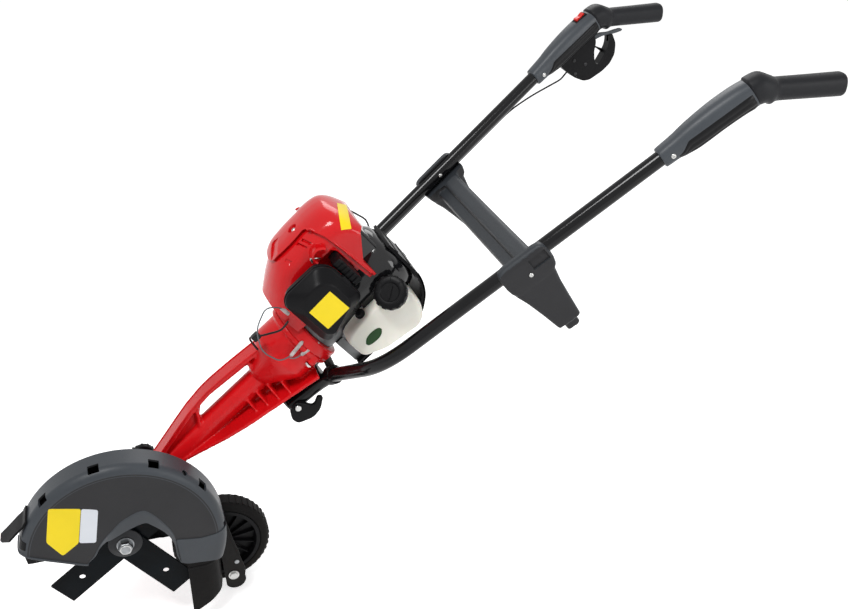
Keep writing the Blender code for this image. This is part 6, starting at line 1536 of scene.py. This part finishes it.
class EDGER_OT_tubes(bpy.types.Operator):
    """Bends the two glossy handle tubes and plugs their ends"""
    bl_idname = "edger.tubes"
    bl_label = "Handle tubes"

    def execute(self, context):
        for side, name in ((-1, "left"), (1, "right")):
            route = tube_route(side, 12)
            tube = sweep(f"{name}_handle_tube", route, TUBE_RADIUS, HUB, 36)
            dress(smooth(tube, 50), "tube_paint", f"{name}_tube")
            first, ahead = Vector(route[0]), (Vector(route[0]) - Vector(route[1])).normalized()
            turn = facing(ahead)
            plug = lathe(f"{name}_tube_plug", mm("0 2.4, 7 2, 9.8 0.8, 10.8 -0.6, 10 -2, 0 -2"),
                         HUB @ Matrix.Translation(first) @ turn, 40, "Z")
            dress(smooth(plug), "black_moulding", body="handlebar")
        return {"FINISHED"}


class EDGER_OT_console(bpy.types.Operator):
    """Moulds the grey console with its stepped crossbar, saddles and legs"""
    bl_idname = "edger.console"
    bl_label = "Console"

    def execute(self, context):
        pieces = []
        for side in (-1, 1):
            along, across, up = tube_axes(side)
            centre = tube_at(CONSOLE_AT, side)

            def solid(name, rows):
                rings = []
                for drop_by, back, forth, wide in rows:
                    ring = [(-back, -wide), (forth, -wide), (forth, wide), (-back, wide)]
                    rings.append([centre + along * p[0] + across * p[1] - up * drop_by
                                  for p in rounded(ring, 0.006, 5)])
                return loft(name, rings, HUB)

            pieces.append(solid("saddle", mm("-14.5 26 24 8.5, -12.8 34 34 12.5, "
                                             "-9.5 38.5 38.5 15, -5 40 40 16, 17 40 40 16, "
                                             "27 38.5 37 15.5, 34 34 30 14.5")))
            pieces.append(solid("leg", mm("20 39.5 34 13.5, 37 36 31 13.5, 55 30.5 27 13.5, "
                                          "88 24.2 22.8 11.8, 120 19 19 9.8")))
            pieces.append(solid("foot", mm("116 10 12 6.5, 133 10 11 6.2")))
            boss = centre - across * side * 0.0155 + along * 0.004 - up * 0.01
            place = HUB @ Matrix.Translation(boss) @ facing(-across * side)
            pieces.append(lathe("boss", mm("0 4.5, 18 4.5, 20.5 3, 20.5 -4, 0 -4"), place, 56,
                                "Z"))
        along, _, up = tube_axes(0)
        span = abs(tube_at(CONSOLE_AT, 1).y) - 0.01
        top, apron = [], []
        for k in range(25):
            y = span * (k / 12 - 1)
            sag = 0.006 * cos(pi / 2 * y / span)
            middle = Vector((0, y, 0)) + tube_at(CONSOLE_AT, 0) - up * (0.024 + sag)
            ring = mm("-4 14, -4 -10, 21 -15, 23 13, 18 16.5, 2 16.8")
            top.append([middle + along * p[0] + up * p[1] for p in rounded(ring, 0.004, 3)])
            ring = mm("-23 -9, -21 -13.5, 4 -13.5, 4 5, -21 3")
            apron.append([middle + along * p[0] + up * p[1] for p in rounded(ring, 0.003, 3)])
        pieces += [loft("crossbar", top, HUB), loft("apron", apron, HUB)]
        body = thin(cast(merge("console_moulding", pieces), 0.0017, 5), 0.5)
        wells, pockets = [], []
        for side in (-1, 1):
            along, across, up = tube_axes(side)
            centre = tube_at(CONSOLE_AT, side)
            turn = Matrix((along, across * side, up)).transposed().to_4x4()
            frame_here = HUB @ Matrix.Translation(centre) @ turn
            pockets.append(block("pocket", *mm("8 12.5 -13, 36 30 4"), frame_here))
            wells.append(rod("well", 0.0038, 0.015, 0.03, frame_here @ shift(0.0, 0, -0.017), 32))
            pockets.append(block("inner_opening", *mm("-80 -30 -12.2, 80 2 30"), frame_here))
            pockets.append(sweep("tube_clear", tube_route(side, 12), 0.0113, HUB, 36))
        under = [tube_at(a, 1) - tube_axes(1)[2] * UNDER_TUBE for a in (0.88, 0.8, 0.7, 0.585)]
        pockets.append(sweep("cable_clear", under, 0.0022, HUB, 12))
        carve(body, *wells, *pockets)
        dress(smooth(body, 45), "shaded_console_grey", "console")
        # Painted shade: the console's side faces and the faces turned back along the handle take
        # the darker grey, where less light falls.
        paint_shade_on_faces(body, "painted_shade_grey", lambda f: abs(f.normal.y) > 0.8
                 or f.normal.dot(HUB.to_3x3() @ along) < -0.7)
        screws = []
        for side in (-1, 1):
            along, across, up = tube_axes(side)
            spot = tube_at(CONSOLE_AT, side) + across * side * 0.0148 - up * 0.017
            screws.append((HUB @ spot, across * side))
            screws.append((HUB @ (tube_at(CONSOLE_AT, side) - across * side * 0.011 + up * 0.0008),
                           -across * side))
        fixings("console_screws", "pan", screws, "bright_steel", 0.85, body="handlebar")
        return {"FINISHED"}


class EDGER_OT_handles(bpy.types.Operator):
    """Moulds the handle shells with fluted insets, and the soft grips"""
    bl_idname = "edger.handles"
    bl_label = "Handles"

    ROWS = mm("0 13.5 13.2 13.5, 3.5 14.6 14.1 14.2, 28 16.5 15 15, 45 18.8 17.6 16.5, "
              "62 20.3 17.8 17.8, 90 21.5 17.2 19.2, 120 20.5 18.8 19.5, 140 17.8 22.2 19")

    def execute(self, context):
        for side, name in ((-1, "left"), (1, "right")):
            along, across, up = tube_axes(side)
            rings = [oval(tube_at(SHELL_AT + d, side), across, up, wide, high, low, 56)
                     for d, high, low, wide in self.ROWS]
            rings = between(rings, 5)
            start = tube_at(SHELL_AT, side)
            rings.insert(0, [start + (p - start) * 0.93 - along * 0.0006 for p in rings[0]])
            shell = loft(f"{name}_shell", rings, HUB)
            if side > 0:
                carve(shell, block("switch_room", *mm("-9.8 -4.8 -4.5, 9.8 4.8 10"),
                                   switch_frame()))
            dress(smooth(shell, 40), "grey_moulding", f"{name}_handle_shell")
            self.insets(name, side)
            self.grip(name, side)
            screws = [(HUB @ (tube_at(0.96, side) + across * k * 0.0136 - up * 0.002), across * k)
                      for k in (-1, 1)]
            fixings(f"{name}_shell_screws", "pan", screws, "bright_steel", 0.9, body="handlebar")
        return {"FINISHED"}

    def insets(self, name, side):
        """Dark panels with long flutes, low on both sides of the shell."""
        _, across, up = tube_axes(side)
        rows = spline([(d, h, l, w) for d, h, l, w in self.ROWS], 6)
        panels = []
        for face in (-1, 1):
            rings = []
            chosen = [r for r in rows if 0.018 <= r[0] <= 0.1396]
            for i, (d, high, low, wide) in enumerate(chosen):
                centre = tube_at(SHELL_AT + d, side)
                f = i / (len(chosen) - 1)
                top = lerp(-0.45, 0.22, ease(f, 0.0, 0.22))
                foot = -1.5
                count = 30
                outer, inner = [], []
                for k in range(count + 1):
                    a = lerp(foot, top, k / count)
                    c, s = cos(a), sin(a)
                    reach = (abs(c) ** 2.6 + abs(s) ** 2.6) ** (-1 / 2.6)
                    height = high if s > 0 else low
                    flute = 0.0012 * abs(sin(pi * 4.0 * k / count)) ** 0.5
                    edge = min(k, count - k) / 2
                    lift = (0.0004 + flute) * min(edge, 1.0) * min(i, len(chosen) - 1 - i, 2) / 2
                    for line, extra in ((outer, lift - 0.0001), (inner, -0.003)):
                        line.append(centre + across * face * ((wide + extra) * reach * c)
                                    + up * ((height + extra) * reach * s))
                rings.append(outer + inner[::-1])
            panels.append(loft("panel", rings, HUB))
        ob = smooth(merge(f"{name}_shell_insets", panels), 50)
        dress(ob, "dark_inset", body="handlebar")

    def grip(self, name, side):
        along, across, up = tube_axes(side)
        knuckle = tube_at(KNUCKLE_AT, side)
        start = tube_at(1.086, side) + along * 0.0003
        end = Vector((1.011, side * GRIP_Y, knuckle.z))
        flat = (end - knuckle).normalized()
        flat_across = Vector((0, 0, 1)).cross(flat).normalized()
        flat_up = flat.cross(flat_across).normalized()
        middle = (along + flat).normalized()
        mid_up = middle.cross(across).normalized()
        stretches = (
            (start, along, across, up, "0 18 17 20.8, 1.5 19.2 18.4 22.2, 5 20 19.5 23.2"),
            (knuckle, middle, across, mid_up, "13 20.2 20 22.5"),
            (knuckle, flat, flat_across, flat_up,
             "24 18.5 18 19.8, 32 15 15 16.6, 44 14.7 14.9 16, 75 15 15.2 16"),
            (end, flat, flat_across, flat_up,
             "-10 15.6 16 16, -5 15.5 15.9 15.9, -1.8 14.8 15 15, -0.3 12.8 13 13, 0 11 11 11"))
        rings = [oval(origin + ahead * at, sideways, upright, wide, high, low, 48)
                 for origin, ahead, sideways, upright, rows in stretches
                 for at, wide, high, low in mm(rows)]
        grip = loft(f"{name}_soft_grip", between(rings, 4), HUB)
        dress(smooth(grip, 40), "grip_rubber", f"{name}_grip")


class EDGER_OT_throttle(bpy.types.Operator):
    """Moulds the throttle housing with its finger ring, the trigger and the stop switch"""
    bl_idname = "edger.throttle"
    bl_label = "Throttle and switch"

    def execute(self, context):
        middle = half_at(1.06)
        outline = mm("818.5 569.5, 844 550.5, 862.5 543, 874 544, 897 557.3, 911 570, "
                     "918.7 585.6, 919 604.5, 911 621.5, 905 619.5, 906 608, 904 597.5, "
                     "897.5 585.5, 887.5 568.5, 881 576.5, 879 594, 881.5 608, 878.5 619.5, "
                     "868 624, 815.5 584")
        body = prism("housing_body", rounded(outline, 0.005, 5), middle - 0.009, middle + 0.009,
                     HUB)
        link = prism("ring_link", mm("877 600, 877 596.5, 889 595.5, 897.5 589.5, 900.5 584, "
                                     "906 589, 900 593.8, 887 599"), middle + 0.004,
                     middle + 0.008, HUB)
        lever_y = middle - 0.003
        for x, wide, z in mm("865.5 21 605.5, 900 30 607.5"):
            carve(body, block("lever_room", (x, lever_y - 0.0036, z),
                              (x + wide, lever_y + 0.0036, 0.64), HUB))
        soften(body, 0.0026, 4, 35)
        body = merge("throttle_body", [body, soften(link, 0.0008, 2)])
        dress(smooth(body, 40), "black_moulding", "throttle_housing")
        fixings("throttle_screws", "pan", [(HUB @ Vector((x, middle - 0.0088, z)), (0, -1, 0))
                                           for x, z in mm("846 557, 864 572, 842 580")],
                "dark_alloy", 0.75, body="handlebar")
        arm = mm("869 609.5, 876 609.5, 883.5 613.5, 896.5 618.5, 910.5 619.5, 921.5 621.5, "
                 "930 624, 931.5 627, 927 628.5, 916 626.5, 904 623.5, 890 623.2, 882.5 621.5, "
                 "877 617.5, 869 614")
        lever = prism("trigger_blade", rounded(arm, 0.004, 5), lever_y - 0.0031, lever_y + 0.0031,
                      HUB)
        dress(soften(lever, 0.0014, 3, 35), "grey_moulding", "throttle_trigger")

        place = switch_frame()
        rocker = prism("rocker", mm("-9 -3.2, 9 -3.2, 9 3.2, 5.5 3.3, 0 2, -5.5 3.8, -9 3.5"),
                       -0.0045, 0.0045, place)
        dress(soften(rocker, 0.0006, 3, 30), "switch_red", "stop_switch")
        frame_ring = block("switch_frame", *mm("-12.2 -7 -4, 12.2 7 0.6"), place)
        carve(frame_ring, block("room", *mm("-9.9 -5 -6, 9.9 5 4"), place))
        dress(soften(frame_ring, 0.0006, 2), "black_moulding", body="handlebar")
        return {"FINISHED"}


class EDGER_OT_inner(bpy.types.Operator):
    """Finishes the gears, shafts, bearings and other solids that keep their shape"""
    bl_idname = "edger.inner"
    bl_label = "Inner parts"

    def execute(self, context):
        finer = {"bright_steel": "bevel_gear bevel_pinion blade_arbor arbor_bearing_left"
                 " arbor_bearing_right shaft_bearing_upper drive_shaft clutch_drum crankshaft",
                 "dark_alloy": "clutch_shoes", "cast_alloy": "flywheel",
                 "black_moulding": "starter_pulley", "foam": "air_filter"}
        for material, nodes in finer.items():
            for node in nodes.split():
                coat(frame["nodes"][node], material)
        return {"FINISHED"}


STEPS = (EDGER_OT_camera, EDGER_OT_cables, EDGER_OT_stage, EDGER_OT_guard, EDGER_OT_flaps,
         EDGER_OT_blade, EDGER_OT_housing, EDGER_OT_wheel, EDGER_OT_engine, EDGER_OT_cover,
         EDGER_OT_cleaner, EDGER_OT_starter, EDGER_OT_tank, EDGER_OT_mount, EDGER_OT_tubes,
         EDGER_OT_console, EDGER_OT_handles, EDGER_OT_throttle, EDGER_OT_inner)


class EDGER_PT_panel(bpy.types.Panel):
    """Lists the machine's pieces in the order in which they are made"""
    bl_idname = "EDGER_PT_panel"
    bl_label = "Lawn edger"
    bl_space_type = "VIEW_3D"
    bl_region_type = "UI"
    bl_category = "Lawn edger"

    def draw(self, context):
        for group in (context.scene.edger_paint, context.scene.edger_sizes):
            box = self.layout.box()
            for key in group.__annotations__:
                box.prop(group, key)
        for step in STEPS:
            self.layout.operator(step.bl_idname)


CLASSES = (EdgerPaint, EdgerSizes, *STEPS, EDGER_PT_panel)


def register():
    for cls in CLASSES:
        bpy.utils.register_class(cls)
    bpy.types.Scene.edger_paint = PointerProperty(type=EdgerPaint)
    bpy.types.Scene.edger_sizes = PointerProperty(type=EdgerSizes)


def unregister():
    del bpy.types.Scene.edger_sizes
    del bpy.types.Scene.edger_paint
    for cls in reversed(CLASSES):
        bpy.utils.unregister_class(cls)


def main():
    register()
    make_finishes(bpy.context.scene.edger_paint)
    MADE["ring"], MADE["row"], MADE["scatter"] = ring_tree(), row_tree(), scatter_tree()
    for step in STEPS:
        group, name = step.bl_idname.split(".")
        getattr(getattr(bpy.ops, group), name)()


if __name__ == "__main__":
    main()
